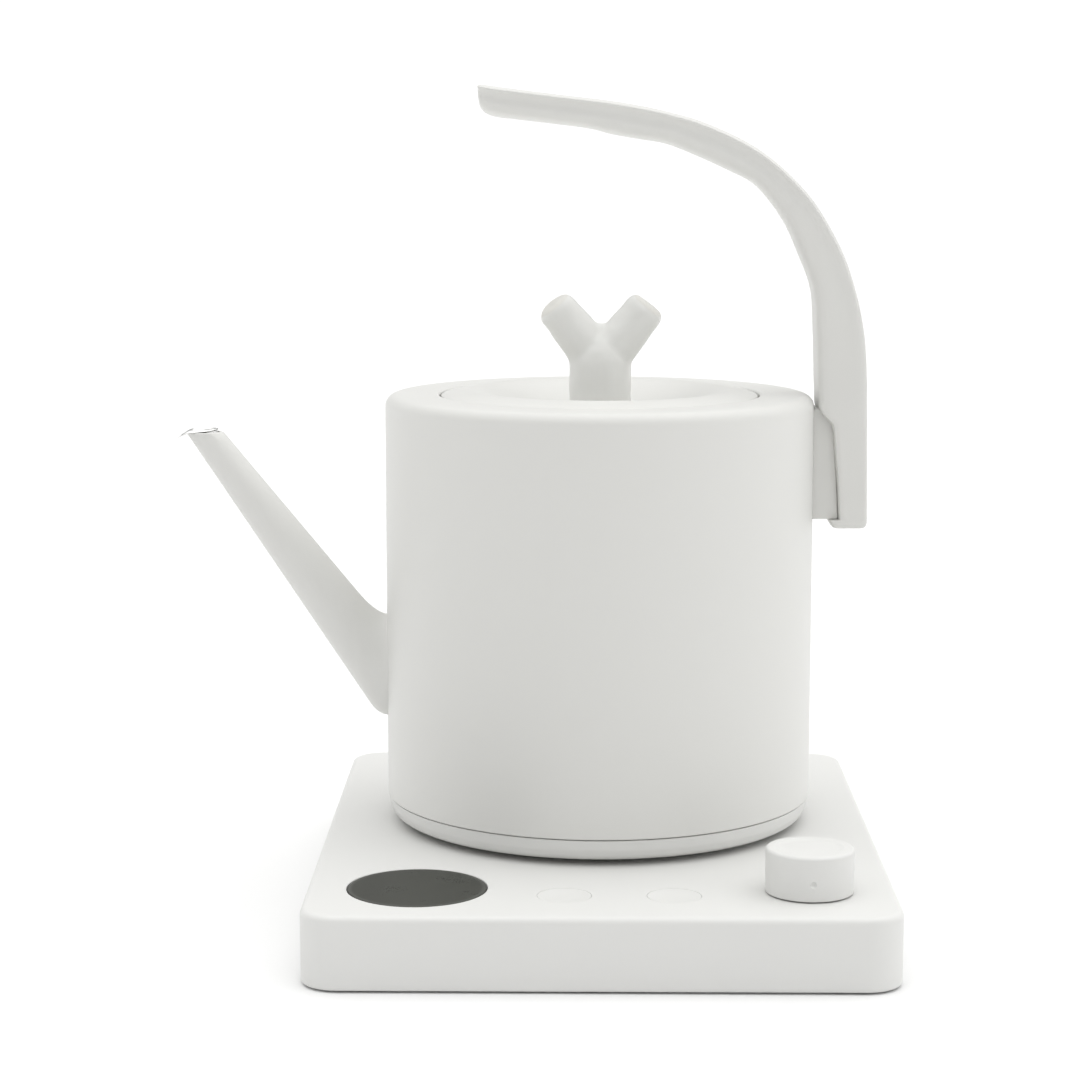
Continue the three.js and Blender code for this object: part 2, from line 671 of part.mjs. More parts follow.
// Knob cast like a forked twig: a stout trunk, two arms, and a filled crotch.
function lidKnob() {
  const foot = dishFloor + gap;
  const profile = [[0, foot], [twigTrunk, foot], [twigTrunk, 156], [8, 162], [4.5, 166], [0, 167.2]];
  let knob = turned(profile, 20);
  knob = knob.add(solid(new THREE.SphereGeometry(7.4, 16, 10)).translate([twigFork.x, 0, 163.4]));
  for (const end of twigEnds) {
    const [dx, dz] = [end.x - twigFork.x, end.z - twigFork.z];
    const reach = Math.hypot(dx, dz);
    const arm = turned([[0, 0], [6.4, 0], [twigArm, 12], [twigArm, reach - 0.7]]
      .concat([[twigArm - 0.7, reach], [0, reach]]), 16);
    const lean = THREE.MathUtils.radToDeg(Math.atan2(dx, dz));
    knob = knob.add(arm.rotate([0, lean, 0]).translate([twigFork.x, 0, twigFork.z]));
  }
  return knob.subtract(rod(lidScrewRadius + gap, 130, 156, 0, 0, 14));
}

function lidKnobScrew() {
  const profile = [[0, 137.4], [4, 137.4], [4.4, 138.4], [4.4, 140.7], [lidScrewRadius, 140.7]]
    .concat([[lidScrewRadius, 155], [0, 155.6]]);
  return turned(profile, 14);
}

place(kettle, 'lid_cover', lidCover(), 'whitePaint');
place(kettle, 'lid_inner_cover', lidInnerCover(), 'steel');
place(kettle, 'lid_seal', lidSeal(), 'silicone');
place(kettle, 'lid_knob', lidKnob(), 'whitePlastic');
place(kettle, 'lid_knob_screw', lidKnobScrew(), 'steel');

export default object;
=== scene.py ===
# %% [markdown]
# # An electric pouring kettle on its powered base
# This lesson builds the looks of a kettle around a model whose sizes are already
# settled. The kettle has a straight drum, a slim straight spout, a handle that
# hangs over the lid, and a lid knob shaped like a forked twig. It stands on a
# flat base with a round display, two keys and a dial.
#
# The frame is loaded first. Its boxes say where every piece goes, so each shape
# below is drawn about the middle of a box and not about a guessed spot.

# %% Load the frame
import json
import math

import bmesh
import bpy
import numpy as np
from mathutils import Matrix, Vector, noise


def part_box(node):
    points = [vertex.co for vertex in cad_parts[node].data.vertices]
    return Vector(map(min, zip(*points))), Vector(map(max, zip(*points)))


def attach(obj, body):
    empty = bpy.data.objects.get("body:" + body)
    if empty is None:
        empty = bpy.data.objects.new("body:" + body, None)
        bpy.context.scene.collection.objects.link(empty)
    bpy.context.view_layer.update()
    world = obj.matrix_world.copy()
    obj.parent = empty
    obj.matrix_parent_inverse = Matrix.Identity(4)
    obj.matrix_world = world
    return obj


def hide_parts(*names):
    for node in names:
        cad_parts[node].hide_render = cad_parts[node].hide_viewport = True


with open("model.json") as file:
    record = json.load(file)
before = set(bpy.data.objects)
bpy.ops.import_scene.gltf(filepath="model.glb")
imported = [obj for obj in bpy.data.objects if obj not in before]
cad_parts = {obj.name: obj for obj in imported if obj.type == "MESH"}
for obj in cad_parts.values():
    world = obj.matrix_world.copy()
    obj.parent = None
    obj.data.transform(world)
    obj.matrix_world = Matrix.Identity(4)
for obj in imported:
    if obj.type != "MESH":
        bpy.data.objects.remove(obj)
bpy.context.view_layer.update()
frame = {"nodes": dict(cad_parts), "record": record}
MM = 0.001


def middle(node):
    """The middle of a node's box, in millimetres."""
    low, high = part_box(node)
    return (np.array(low) + np.array(high)) / (2 * MM)


base_middle = middle("base_top_shell")
kettle_axis = middle("kettle_bottom_ring")
BASE = np.array((base_middle[0], base_middle[1], 0.0))
KETTLE = np.array((kettle_axis[0], kettle_axis[1], 0.0))
print("base middle", BASE, "kettle axis", KETTLE)

# %% [markdown]
# ## Camera
# The kettle is seen from the front, a little above the lid, with a long lens
# that keeps the drum's sides nearly upright. The camera's place is given from
# the middle of the base, so it follows if the base is ever moved.

# %% Camera
camera_data = bpy.data.cameras.new("camera")
LENS = 89.91
TILT_DOWN = 8.33
TURN_LEFT = 0.713
camera_data.lens = LENS
camera_data.sensor_width = 36.0
camera = bpy.data.objects.new("camera", camera_data)
camera.location = Vector((BASE + np.array((-7.74, -791.1, 223.5))) * MM)
camera.rotation_euler = (math.radians(90 - TILT_DOWN), 0.0, math.radians(TURN_LEFT))
bpy.context.scene.collection.objects.link(camera)
bpy.context.scene.camera = camera
bpy.context.scene.view_settings.view_transform = "Standard"
print("camera at", tuple(round(c, 4) for c in camera.location))

# %% [markdown]
# ## Node maths as Python
# Shader and geometry trees are both nodes and wires. Wiring sums by hand takes
# many lines and hides what is meant. A small class wraps one output and turns
# + - * / into Math nodes, so a formula in the text is the formula in the tree.

# %% Wires and graphs
class Wire:
    """One output of a node. Sums and products of wires become Math nodes."""

    def __init__(self, graph, socket):
        self.graph = graph
        self.socket = socket

    def __add__(self, other):
        return self.graph.maths("ADD", self, other)

    def __radd__(self, other):
        return self.graph.maths("ADD", other, self)

    def __sub__(self, other):
        return self.graph.maths("SUBTRACT", self, other)

    def __rsub__(self, other):
        return self.graph.maths("SUBTRACT", other, self)

    def __mul__(self, other):
        return self.graph.maths("MULTIPLY", self, other)

    def __rmul__(self, other):
        return self.graph.maths("MULTIPLY", other, self)

    def __truediv__(self, other):
        return self.graph.maths("DIVIDE", self, other)


class Graph:
    """A node tree that is being written."""

    def __init__(self, tree):
        self.tree = tree

    def node(self, kind, settings=None, inputs=None, output=0):
        """Adds a node: its settings first, then its inputs, as values or wires."""
        made = self.tree.nodes.new(kind)
        for name, value in (settings or {}).items():
            setattr(made, name, value)
        for name, value in (inputs or {}).items():
            self.feed(made.inputs[name], value)
        return Wire(self, made.outputs[output])

    def feed(self, socket, value):
        if isinstance(value, Wire):
            self.tree.links.new(value.socket, socket)
        else:
            socket.default_value = value

    def maths(self, operation, *values):
        return self.node("ShaderNodeMath", {"operation": operation}, dict(enumerate(values)))

    def xyz(self, **given):
        """A vector from its named parts."""
        return self.node("ShaderNodeCombineXYZ", {}, given)

    def smooth(self, value, low, high):
        """Runs from 0 to 1 as the value goes from low to high, with soft ends."""
        sizes = {"Value": value, "From Min": low, "From Max": high}
        kind = {"interpolation_type": "SMOOTHSTEP"}
        return self.node("ShaderNodeMapRange", kind, sizes)

    def blend(self, factor, first, second):
        """Mixes two colours."""
        sockets = {0: factor, 6: first, 7: second}
        return self.node("ShaderNodeMix", {"data_type": "RGBA"}, sockets, output=2)

    def place(self, about=(0.0, 0.0, 0.0)):
        """The point on the piece, in metres, measured from a spot in millimetres."""
        point = self.node("ShaderNodeTexCoord", output="Object")
        shift = tuple(-a * MM for a in about)
        return self.node("ShaderNodeMapping", {}, {"Vector": point, "Location": shift})

    def parts(self, vector):
        """The x, y and z of a vector."""
        split = self.node("ShaderNodeSeparateXYZ", {}, {0: vector})
        outputs = split.socket.node.outputs
        return [Wire(self, outputs[axis]) for axis in "XYZ"]

    def speckle(self, vector, scale, detail=2.0, roughness=0.5):
        """Cloudy noise from 0 to 1."""
        sockets = {"Vector": vector, "Scale": scale, "Detail": detail, "Roughness": roughness}
        return self.node("ShaderNodeTexNoise", {}, sockets)

    def skin(self, shader, colour, roughness, relief, depth):
        """Wires colour, roughness and a fine relief of some depth into a shader."""
        sockets = {"Height": relief, "Distance": depth * MM, "Strength": 1.0}
        self.feed(shader["Base Color"], colour)
        self.feed(shader["Roughness"], roughness)
        self.feed(shader["Normal"], self.node("ShaderNodeBump", {}, sockets))

    def lifted(self, geometry, height):
        """A shape moved up, or down where the height is below zero."""
        sockets = {"Geometry": geometry, "Translation": self.xyz(Z=height)}
        return self.node("GeometryNodeTransform", {}, sockets)


print("node helpers ready")

# %% [markdown]
# ## Finishes
# Every finish starts from the same shader, the Principled one. Numbers that are
# the same all over the surface are set on its sockets. Only colour, roughness,
# metal and the bump that stands for fine relief change from point to point.

# %% Start of a finish
def new_finish(name, **constants):
    """A material with a Principled shader, and the graph that its detail goes in."""
    finish = bpy.data.materials.new(name)
    finish.use_nodes = True
    graph = Graph(finish.node_tree)
    shader = finish.node_tree.nodes["Principled BSDF"]
    for socket, value in constants.items():
        shader.inputs[socket.replace("_", " ")].default_value = value
    return finish, graph, shader.inputs


def grey(value, warm=0.0):
    """A neutral colour, or a slightly warm one."""
    return (value * (1 + warm), value * (1 + 0.4 * warm), value * (1 - warm), 1.0)


# %% [markdown]
# ### Painted metal, moulded plastic
# The drum, spout and lid are steel with a baked powder coat: satin, with a soft
# orange-peel relief about a millimetre across and a finer grain on top of it.
# The plastic parts match it in colour, and their grain comes from the mould. One
# recipe makes both, so the eye reads one white object. A broad, very weak change
# of shade keeps the large surfaces from looking computed.

# %% Painted metal and moulded plastic
def white_skin(name, shade, roughness, peel, peel_depth, grain, grain_depth):
    """Off-white satin skin: a broad shade, a soft relief and a fine grain."""
    finish, graph, shader = new_finish(name, IOR=1.5)
    point = graph.place()
    cloud = graph.speckle(point, 14.0, 3.0)
    light = tuple(c * 1.008 for c in shade) + (1.0,)
    dark = tuple(c * 0.992 for c in shade) + (1.0,)
    soft = graph.speckle(point, peel, 2.0)
    fine = graph.speckle(point, grain, 3.0, 0.6)
    uneven = roughness - 0.03 + 0.04 * cloud + 0.03 * fine
    relief = soft * peel_depth + fine * grain_depth
    graph.skin(shader, graph.blend(cloud, dark, light), uneven, relief, 1.0)
    return finish


WHITE = (0.702, 0.701, 0.679)
powder_coat = white_skin("powder coat", WHITE, 0.42, 850, 0.007, 3000, 0.0025)
base_plastic = white_skin("base plastic", (0.722, 0.722, 0.706), 0.5, 1500, 0.002, 4200, 0.004)
handle_coat = white_skin("handle coating", (0.70, 0.698, 0.675), 0.4, 700, 0.004, 3500, 0.0012)
print("white skins ready")

# %% [markdown]
# ### Knob resin
# The twig knob is cast, and its coat is thicker and glossier than the powder.
# The cut ends of the two arms show the bare material: a little warmer, and
# rougher. A mask finds those ends from how far a point lies along each arm.

# %% Knob resin
TWIG_FORK = np.array((0.4, 0.0, 158.9))
TWIG_ENDS = [np.array((-14.1, 0.0, 176.6)), np.array((15.0, 0.0, 176.6))]


def twig_resin():
    finish, graph, shader = new_finish("twig resin", IOR=1.5, Coat_Roughness=0.25)
    shader["Coat Weight"].default_value = 0.25
    x, y, z = graph.parts(graph.place(KETTLE + TWIG_FORK))
    ends = None
    for end in TWIG_ENDS:
        arm = end - TWIG_FORK
        reach = np.linalg.norm(arm)
        along = x * (arm[0] / reach) + z * (arm[2] / reach) - y * 0.12
        mask = graph.smooth(along, (reach - 1.1) * MM, (reach - 0.5) * MM)
        ends = mask if ends is None else graph.maths("MAXIMUM", ends, mask)
    point = graph.place()
    cloud = graph.speckle(point, 60.0, 3.0)
    skin = graph.blend(cloud, (0.715, 0.716, 0.692, 1.0), (0.735, 0.735, 0.712, 1.0))
    bare = graph.blend(cloud, (0.67, 0.66, 0.62, 1.0), (0.73, 0.72, 0.685, 1.0))
    fine = graph.speckle(point, 2600.0, 2.0)
    wavy = graph.speckle(point, 260.0, 2.0)
    relief = wavy * 0.03 + fine * (0.002 + 0.02 * ends)
    uneven = 0.34 + 0.06 * cloud + 0.22 * ends
    graph.skin(shader, graph.blend(ends, skin, bare), uneven, relief, 1.0)
    return finish


knob_resin = twig_resin()
print("knob resin ready")

# %% [markdown]
# ### Display window
# A smoked acrylic disc with a matte coat against glare, a little paler at the rim
# where it is glued. Plain glass would mirror the bright studio at this low angle,
# so its specular level is turned down, as the coat does on the real one.

# %% Display window
def smoked_window():
    finish, graph, shader = new_finish("smoked window", IOR=1.45, Specular_IOR_Level=0.04)
    x, y, z = graph.parts(graph.place(middle("display_lens")))
    radius = graph.maths("SQRT", x * x + y * y)
    rim = graph.smooth(radius, 17.6 * MM, 18.6 * MM)
    point = graph.place()
    cloud = graph.speckle(point, 90.0, 2.0)
    dark = graph.blend(cloud, (0.050, 0.052, 0.045, 1.0), (0.057, 0.059, 0.051, 1.0))
    colour = graph.blend(rim, dark, (0.088, 0.090, 0.082, 1.0))
    fine = graph.speckle(point, 2500.0, 2.0)
    graph.skin(shader, colour, 0.24 + 0.05 * cloud + 0.04 * fine, fine, 0.002)
    return finish


window_glass = smoked_window()
print("window ready")

# %% [markdown]
# ### Metals
# The lip in the spout's mouth is polished. The heater plate, inner lid and screws
# are brushed on a turning machine, so their fine lines run in circles: noise is
# read on radius and height but barely on the angle, which draws it out into
# rings. The contacts are bright brass, slightly spotted.

# %% Metals
def turned_metal(name, colour, roughness, about, pitch=2600.0, depth=0.0015):
    """Metal with fine lines round an upright axis."""
    finish, graph, shader = new_finish(name, Metallic=1.0)
    x, y, z = graph.parts(graph.place(about))
    radius = graph.maths("SQRT", x * x + y * y)
    angle = graph.maths("ARCTAN2", y, x)
    ring = graph.xyz(X=radius * pitch, Y=z * pitch, Z=angle * 2.0)
    lines = graph.speckle(ring, 1.0, 3.0, 0.6)
    cloud = graph.speckle(graph.place(), 40.0, 2.0)
    dark = tuple(c * 0.93 for c in colour) + (1.0,)
    light = tuple(colour) + (1.0,)
    uneven = roughness + 0.1 * lines + 0.06 * cloud
    graph.skin(shader, graph.blend(lines, dark, light), uneven, lines, depth)
    return finish


brushed_steel = turned_metal("brushed steel", (0.62, 0.62, 0.61), 0.24, KETTLE)
lip_steel = turned_metal("polished lip", (0.80, 0.80, 0.79), 0.05, KETTLE, 900.0, 0.0003)
contact_brass = turned_metal("contact brass", (0.79, 0.62, 0.30), 0.22, KETTLE)
print("metals ready")

# %% [markdown]
# ### Dark plastics, rubber, silicone and boards
# The connector and the parts under the housing are moulded in black with an even
# texture. Seal and feet are softer and rougher. The boards are lacquered green
# over copper tracks, a brick pattern whose thin joints are the gaps.

# %% Moulded and soft parts
def textured(name, dark, light, roughness, scale, depth):
    """An even moulded texture between two shades."""
    finish, graph, shader = new_finish(name, IOR=1.5)
    point = graph.place()
    cloud = graph.speckle(point, 70.0, 3.0)
    fine = graph.speckle(point, scale, 2.0)
    uneven = roughness - 0.04 + 0.08 * fine
    graph.skin(shader, graph.blend(cloud, dark, light), uneven, fine, depth)
    return finish


black_plastic = textured("black plastic", grey(0.022), grey(0.03), 0.5, 2400.0, 0.006)
grey_plastic = textured("grey plastic", grey(0.5), grey(0.56), 0.55, 2400.0, 0.005)
silicone = textured("silicone", grey(0.6, 0.01), grey(0.68, 0.01), 0.62, 1800.0, 0.003)
foot_rubber = textured("foot rubber", grey(0.2), grey(0.27), 0.85, 2000.0, 0.012)


def lacquered_board():
    finish, graph, shader = new_finish("lacquered board", IOR=1.5)
    point = graph.place()
    bricks = {"Vector": point, "Scale": 320.0, "Mortar Size": 0.03, "Mortar Smooth": 0.1}
    tracks = graph.node("ShaderNodeTexBrick", {"offset": 0.5}, bricks, output="Fac")
    cloud = graph.speckle(point, 120.0, 2.0)
    lacquer = graph.blend(cloud, (0.02, 0.11, 0.05, 1.0), (0.03, 0.15, 0.07, 1.0))
    colour = graph.blend(tracks, lacquer, (0.012, 0.06, 0.03, 1.0))
    graph.skin(shader, colour, 0.3 + 0.15 * cloud, tracks, -0.03)
    return finish


board_lacquer = lacquered_board()
finish_of_slot = {
    "white_paint": powder_coat,
    "white_plastic": base_plastic,
    "handle_plastic": handle_coat,
    "knob_resin": knob_resin,
    "grey_plastic": grey_plastic,
    "black_plastic": black_plastic,
    "display_glass": window_glass,
    "steel": brushed_steel,
    "lip_steel": lip_steel,
    "contact_brass": contact_brass,
    "silicone": silicone,
    "foot_rubber": foot_rubber,
    "circuit_board": board_lacquer,
}
print(len(finish_of_slot), "finishes")

# %% [markdown]
# ## Dress the frame's own parts
# Parts that keep their plain shape, most of them out of sight, only change
# material. The record says which finish each of them takes.

# %% Dress the frame's own parts
for part in frame["record"]["subparts"]:
    node = frame["nodes"][part["node"]]
    node.data.materials.clear()
    node.data.materials.append(finish_of_slot[part["material_slot"]])
print(len(frame["nodes"]), "frame parts dressed")

# %% [markdown]
# ## Helpers for meshes
# All drawing is in millimetres and is scaled once, when the mesh is made. A
# loft joins rings of points with quads. A finished shape is settled: doubles
# merge, faces turn outwards, and edges that turn by more than a third of a right
# angle stay crisp while the rest is shaded smooth.

# %% Mesh helpers
SAME_POINT = 0.002 * MM


def circle(count):
    """Cosine and sine of evenly spread angles."""
    angles = [2 * math.pi * i / count for i in range(count)]
    return [(math.cos(a), math.sin(a)) for a in angles]


def new_piece(name, points, faces, finish, edges=()):
    """A mesh object from points in millimetres."""
    mesh = bpy.data.meshes.new(name)
    mesh.from_pydata([tuple(np.array(p) * MM) for p in points], list(edges), faces)
    mesh.materials.append(finish)
    piece = bpy.data.objects.new(name, mesh)
    bpy.context.scene.collection.objects.link(piece)
    return piece


def loft(rings, caps=True, joined=False):
    """Quads between rings of points, closed at the ends or joined end to end."""
    count = len(rings[0])
    points = [point for ring in rings for point in ring]
    pairs = [(i, i + 1) for i in range(len(rings) - 1)]
    if joined:
        pairs.append((len(rings) - 1, 0))
    faces = []
    for a, b in pairs:
        for i in range(count):
            j = (i + 1) % count
            faces.append((a * count + i, a * count + j, b * count + j, b * count + i))
    if caps and not joined:
        last = (len(rings) - 1) * count
        faces.append(tuple(reversed(range(count))))
        faces.append(tuple(range(last, last + count)))
    return points, faces


def settle(piece, crisp=32.0):
    """Merges doubles, turns the faces outwards and keeps sharp turns crisp."""
    shape = bmesh.new()
    shape.from_mesh(piece.data)
    bmesh.ops.remove_doubles(shape, verts=shape.verts, dist=SAME_POINT)
    bmesh.ops.recalc_face_normals(shape, faces=shape.faces)
    for face in shape.faces:
        face.smooth = True
    for edge in shape.edges:
        edge.smooth = edge.calc_face_angle(0.0) < math.radians(crisp)
    shape.to_mesh(piece.data)
    shape.free()
    return piece


def bake_modifiers(piece):
    """Turns what the modifiers show into the piece's plain mesh."""
    bpy.context.view_layer.update()
    graph = bpy.context.evaluated_depsgraph_get()
    mesh = bpy.data.meshes.new_from_object(piece.evaluated_get(graph), depsgraph=graph)
    piece.modifiers.clear()
    old = piece.data
    piece.data = mesh
    bpy.data.meshes.remove(old)
    mesh.name = piece.name
    return piece


def combine(piece, tool, operation="DIFFERENCE"):
    """Cuts a piece with a tool, or joins the two, and drops the tool."""
    modifier = piece.modifiers.new("combine", "BOOLEAN")
    modifier.operation = operation
    modifier.solver = "EXACT"
    modifier.object = tool
    bake_modifiers(piece)
    bpy.data.objects.remove(tool)
    return piece


def hand_over(piece, body, slot, *nodes):
    """The piece stands for nodes of the frame: it rides on their body."""
    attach(piece, body)
    if nodes:
        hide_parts(*nodes)
    piece.data.calc_loop_triangles()
    print(piece.name, "rides on", body, "with", len(piece.data.loop_triangles), "triangles")


# %% [markdown]
# ## Outlines
# Turned pieces are drawn as half outlines: radius to the right, height up. Real
# edges are never dead sharp, and the small rounding catches the light. The
# helper replaces each corner with an arc, and adds a point just before and after
# it, so that smooth shading stays on the arc and the flats beside it stay flat.

# %% Rounded outlines
def rounded(corners, closed=False, radius=0.2, steps=5, support=0.35):
    """Rounds the corners of an outline. A corner is (r, z) or (r, z, radius)."""
    count = len(corners)
    outline = []
    for i, corner in enumerate(corners):
        here = np.array(corner[:2], float)
        bend = corner[2] if len(corner) > 2 else radius
        if not closed and i in (0, count - 1):
            outline.append(here)
            continue
        before = np.array(corners[i - 1][:2], float) - here
        after = np.array(corners[(i + 1) % count][:2], float) - here
        long_before = np.linalg.norm(before)
        long_after = np.linalg.norm(after)
        before /= long_before
        after /= long_after
        angle = math.acos(np.clip(before @ after, -1.0, 1.0))
        if bend == 0 or angle > math.pi - 0.02:
            outline.append(here)
            continue
        reach = min(bend / math.tan(angle / 2), 0.45 * long_before, 0.45 * long_after)
        bend = reach * math.tan(angle / 2)
        toward = (before + after) / np.linalg.norm(before + after)
        centre = here + toward * bend / math.sin(angle / 2)
        start = here + before * reach - centre
        finish = here + after * reach - centre
        first = math.atan2(start[1], start[0])
        turn = math.atan2(finish[1], finish[0]) - first
        turn = (turn + math.pi) % (2 * math.pi) - math.pi
        outline.append(here + before * (reach + min(support, 0.08 * long_before)))
        for step in range(steps + 1):
            at = first + turn * step / steps
            outline.append(centre + bend * np.array((math.cos(at), math.sin(at))))
        outline.append(here + after * (reach + min(support, 0.08 * long_after)))
    if closed:
        outline.append(outline[0])
    return outline


print("outline helper ready")

# %% [markdown]
# ## The lathe, as geometry nodes
# Most of this object is turned: the drum, its ring, the lid, the dial, the keys
# and the connector. Their shape follows one rule, so one node tree makes them
# all. It reads an outline, lays a grid with a row for every point of it, and
# wraps each row round the axis. The seam and the poles are merged in the tree.

# %% Lathe tree
def new_tree(name, lengths, counts=()):
    """A geometry tree with named inputs, and a wire from each of them."""
    tree = bpy.data.node_groups.new(name, "GeometryNodeTree")
    inputs = {"Geometry": "Geometry", **dict.fromkeys(counts, "Int")}
    inputs.update({**dict.fromkeys(lengths, "Float"), "Material": "Material"})
    for label, kind in inputs.items():
        tree.interface.new_socket(label, in_out="INPUT", socket_type="NodeSocket" + kind)
    tree.interface.new_socket("Geometry", in_out="OUTPUT", socket_type="NodeSocketGeometry")
    graph = Graph(tree)
    outputs = graph.node("NodeGroupInput").socket.node.outputs
    return tree, graph, {label: Wire(graph, outputs[label]) for label in inputs}


def close_tree(graph, geometry, material):
    """Ends a tree: instances made real, and the material set."""
    real = graph.node("GeometryNodeRealizeInstances", {}, {0: geometry})
    coloured = graph.node("GeometryNodeSetMaterial", {}, {"Geometry": real, "Material": material})
    way_out = graph.tree.nodes.new("NodeGroupOutput")
    graph.feed(way_out.inputs[0], coloured)


def set_copies(graph, given, shape):
    """Ends a tree with a copy of the shape on every point it is given."""
    sockets = {"Points": given["Geometry"], "Instance": shape}
    copies = graph.node("GeometryNodeInstanceOnPoints", {}, sockets)
    close_tree(graph, copies, given["Material"])


def lathe_tree():
    tree, graph, given = new_tree("lathe", ("Centre X", "Centre Y"), ("Rows", "Steps"))
    columns = given["Steps"] + 1
    counts = {"Vertices X": given["Rows"], "Vertices Y": columns}
    grid = graph.node("GeometryNodeMeshGrid", {}, counts)
    index = graph.node("GeometryNodeInputIndex")
    row = graph.maths("FLOOR", (index + 0.5) / columns)
    column = index - row * columns
    angle = column * (2 * math.pi) / given["Steps"]
    outline = graph.node("GeometryNodeInputPosition")
    sockets = {"Geometry": given["Geometry"], "Value": outline, "Index": row}
    settings = {"data_type": "FLOAT_VECTOR", "domain": "POINT"}
    point = graph.node("GeometryNodeSampleIndex", settings, sockets)
    radius, unused, height = graph.parts(point)
    across = radius * graph.maths("COSINE", angle) + given["Centre X"]
    deep = radius * graph.maths("SINE", angle) + given["Centre Y"]
    where = graph.xyz(X=across, Y=deep, Z=height)
    wrapped = graph.node("GeometryNodeSetPosition", {}, {"Geometry": grid, "Position": where})
    sockets = {"Geometry": wrapped, "Distance": SAME_POINT}
    merged = graph.node("GeometryNodeMergeByDistance", {}, sockets)
    close_tree(graph, merged, given["Material"])
    return tree


def run_tree(name, tree, points, finish, **sizes):
    """Runs a tree on a line of points and keeps the result as a plain mesh."""
    line = [(i, i + 1) for i in range(len(points) - 1)]
    piece = new_piece(name, points, [], finish, line)
    modifier = piece.modifiers.new(tree.name, "NODES")
    modifier.node_group = tree
    given = {"Material": finish, **{key.replace("_", " "): size for key, size in sizes.items()}}
    for item in tree.interface.items_tree:
        if item.in_out == "INPUT" and item.name in given:
            modifier[item.identifier] = given[item.name]
    return bake_modifiers(piece)


lathe = lathe_tree()


def turn(name, outline, finish, centre=KETTLE, steps=96):
    """A turned piece about an upright axis."""
    points = [(r, 0.0, z) for r, z in outline]
    where = {"Centre_X": float(centre[0] * MM), "Centre_Y": float(centre[1] * MM)}
    piece = run_tree(name, lathe, points, finish, Rows=len(points), Steps=steps, **where)
    return settle(piece)


def turned_part(name, corners, body, slot, node, closed=False, radius=0.2, **where):
    """A turned piece that needs no cutting, rounded and handed over at once."""
    outline = rounded(corners, closed=closed, radius=radius)
    hand_over(turn(name, outline, finish_of_slot[slot], **where), body, slot, node)


print("lathe ready")

# %% [markdown]
# ## Drum
# The drum is one steel pressing. Its wall runs up, rolls over into a flat rim,
# and drops into a short neck with a ledge that carries the lid. It is drawn as
# one closed outline with the thickness of the sheet, and the hole that feeds the
# spout is cut from it as in the real one.

# %% Drum
DRUM = 64.0
DRUM_TOP = 150.0
SHEET = 1.2
NECK = 47.9
LEDGE_TOP = 143.6
drum_outline = [(DRUM - SHEET, 29.2), (DRUM, 29.2, 0.3), (DRUM, DRUM_TOP, 3.4)]
drum_outline += [(NECK, DRUM_TOP, 0.7), (NECK, LEDGE_TOP), (45.2, LEDGE_TOP), (45.2, 142.4)]
drum_outline += [(49.1, 142.4), (49.1, DRUM_TOP - SHEET), (DRUM - SHEET, DRUM_TOP - SHEET, 2.2)]
drum = turn("drum", rounded(drum_outline, closed=True, steps=7), powder_coat, steps=160)
SPOUT_ROOT = 67.35
HOLE_WIDE = 9.2
HOLE_HIGH = 14.0
hole = []
for x in (-70.0, -55.0):
    oval = [(x, HOLE_WIDE * s, SPOUT_ROOT + HOLE_HIGH * c) for c, s in circle(48)]
    hole.append([KETTLE + np.array(point) for point in oval])
settle(combine(drum, settle(new_piece("hole", *loft(hole), powder_coat))))
hand_over(drum, "kettle", "white_paint", "kettle_body")

# %% [markdown]
# ## Ring under the drum
# A moulded ring closes the space with the heater. It steps in a little from the
# wall, which leaves the thin dark line that runs round the foot of the drum.
# Three screws hold it from below, each in a sunk seat.

# %% Ring under the drum
def joined_tools(name, tools):
    """Several cutting tools as one mesh."""
    points = []
    faces = []
    for tool_points, tool_faces in tools:
        start = len(points)
        points += tool_points
        faces += [tuple(start + i for i in face) for face in tool_faces]
    return settle(new_piece(name, points, faces, base_plastic))


def stepped_drill(x, y, steps, count=40):
    """A round cutter whose radius changes with height: (radius, z) pairs."""
    rings = []
    for radius, z in steps:
        rings.append([np.array((x + radius * c, y + radius * s, z)) for c, s in circle(count)])
    return loft(rings)


ring_outline = [(23.0, 22.7), (60.4, 22.7, 1.5), (62.2, 23.8, 2.5), (63.2, 25.8, 4.0)]
ring_outline += [(63.7, 28.9, 0.25), (62.2, 28.9), (62.2, 33.4), (60.6, 33.4), (60.6, 26.6)]
ring_outline += [(58.8, 24.8), (23.0, 24.8)]
bottom_ring = turn("bottom_ring", rounded(ring_outline, closed=True), base_plastic, steps=160)
SEAT_CIRCLE = 50
SEAT = [(3.5, 20), (3.5, 22.7), (3.2, 23.0), (3.2, 23.8), (1.8, 23.8), (1.8, 27)]
seats = []
for a in (math.radians(degrees) for degrees in (30, 150, 270)):
    x, y = KETTLE[:2] + np.array((SEAT_CIRCLE * math.cos(a), SEAT_CIRCLE * math.sin(a)))
    seats.append(stepped_drill(x, y, SEAT))
settle(combine(bottom_ring, joined_tools("screw seats", seats)))
hand_over(bottom_ring, "kettle", "white_plastic", "kettle_bottom_ring")

# %% [markdown]
# ## Lid
# The outer lid rises in a soft crown from its seam, then sinks into a dish for
# the knob. A cosine of a power of the radius draws the dish: nearly flat in the
# middle, steep near the edge and rounded at the crown, like a pressed sheet. The
# inner lid and its silicone seal hang below and show when the lid is lifted.

# %% Lid
LID = 47.3
LID_TOP = 149.7
LID_SHEET = 1.5
CROWN = 151.4
DISH = 39.5
DISH_FLOOR = 142.5


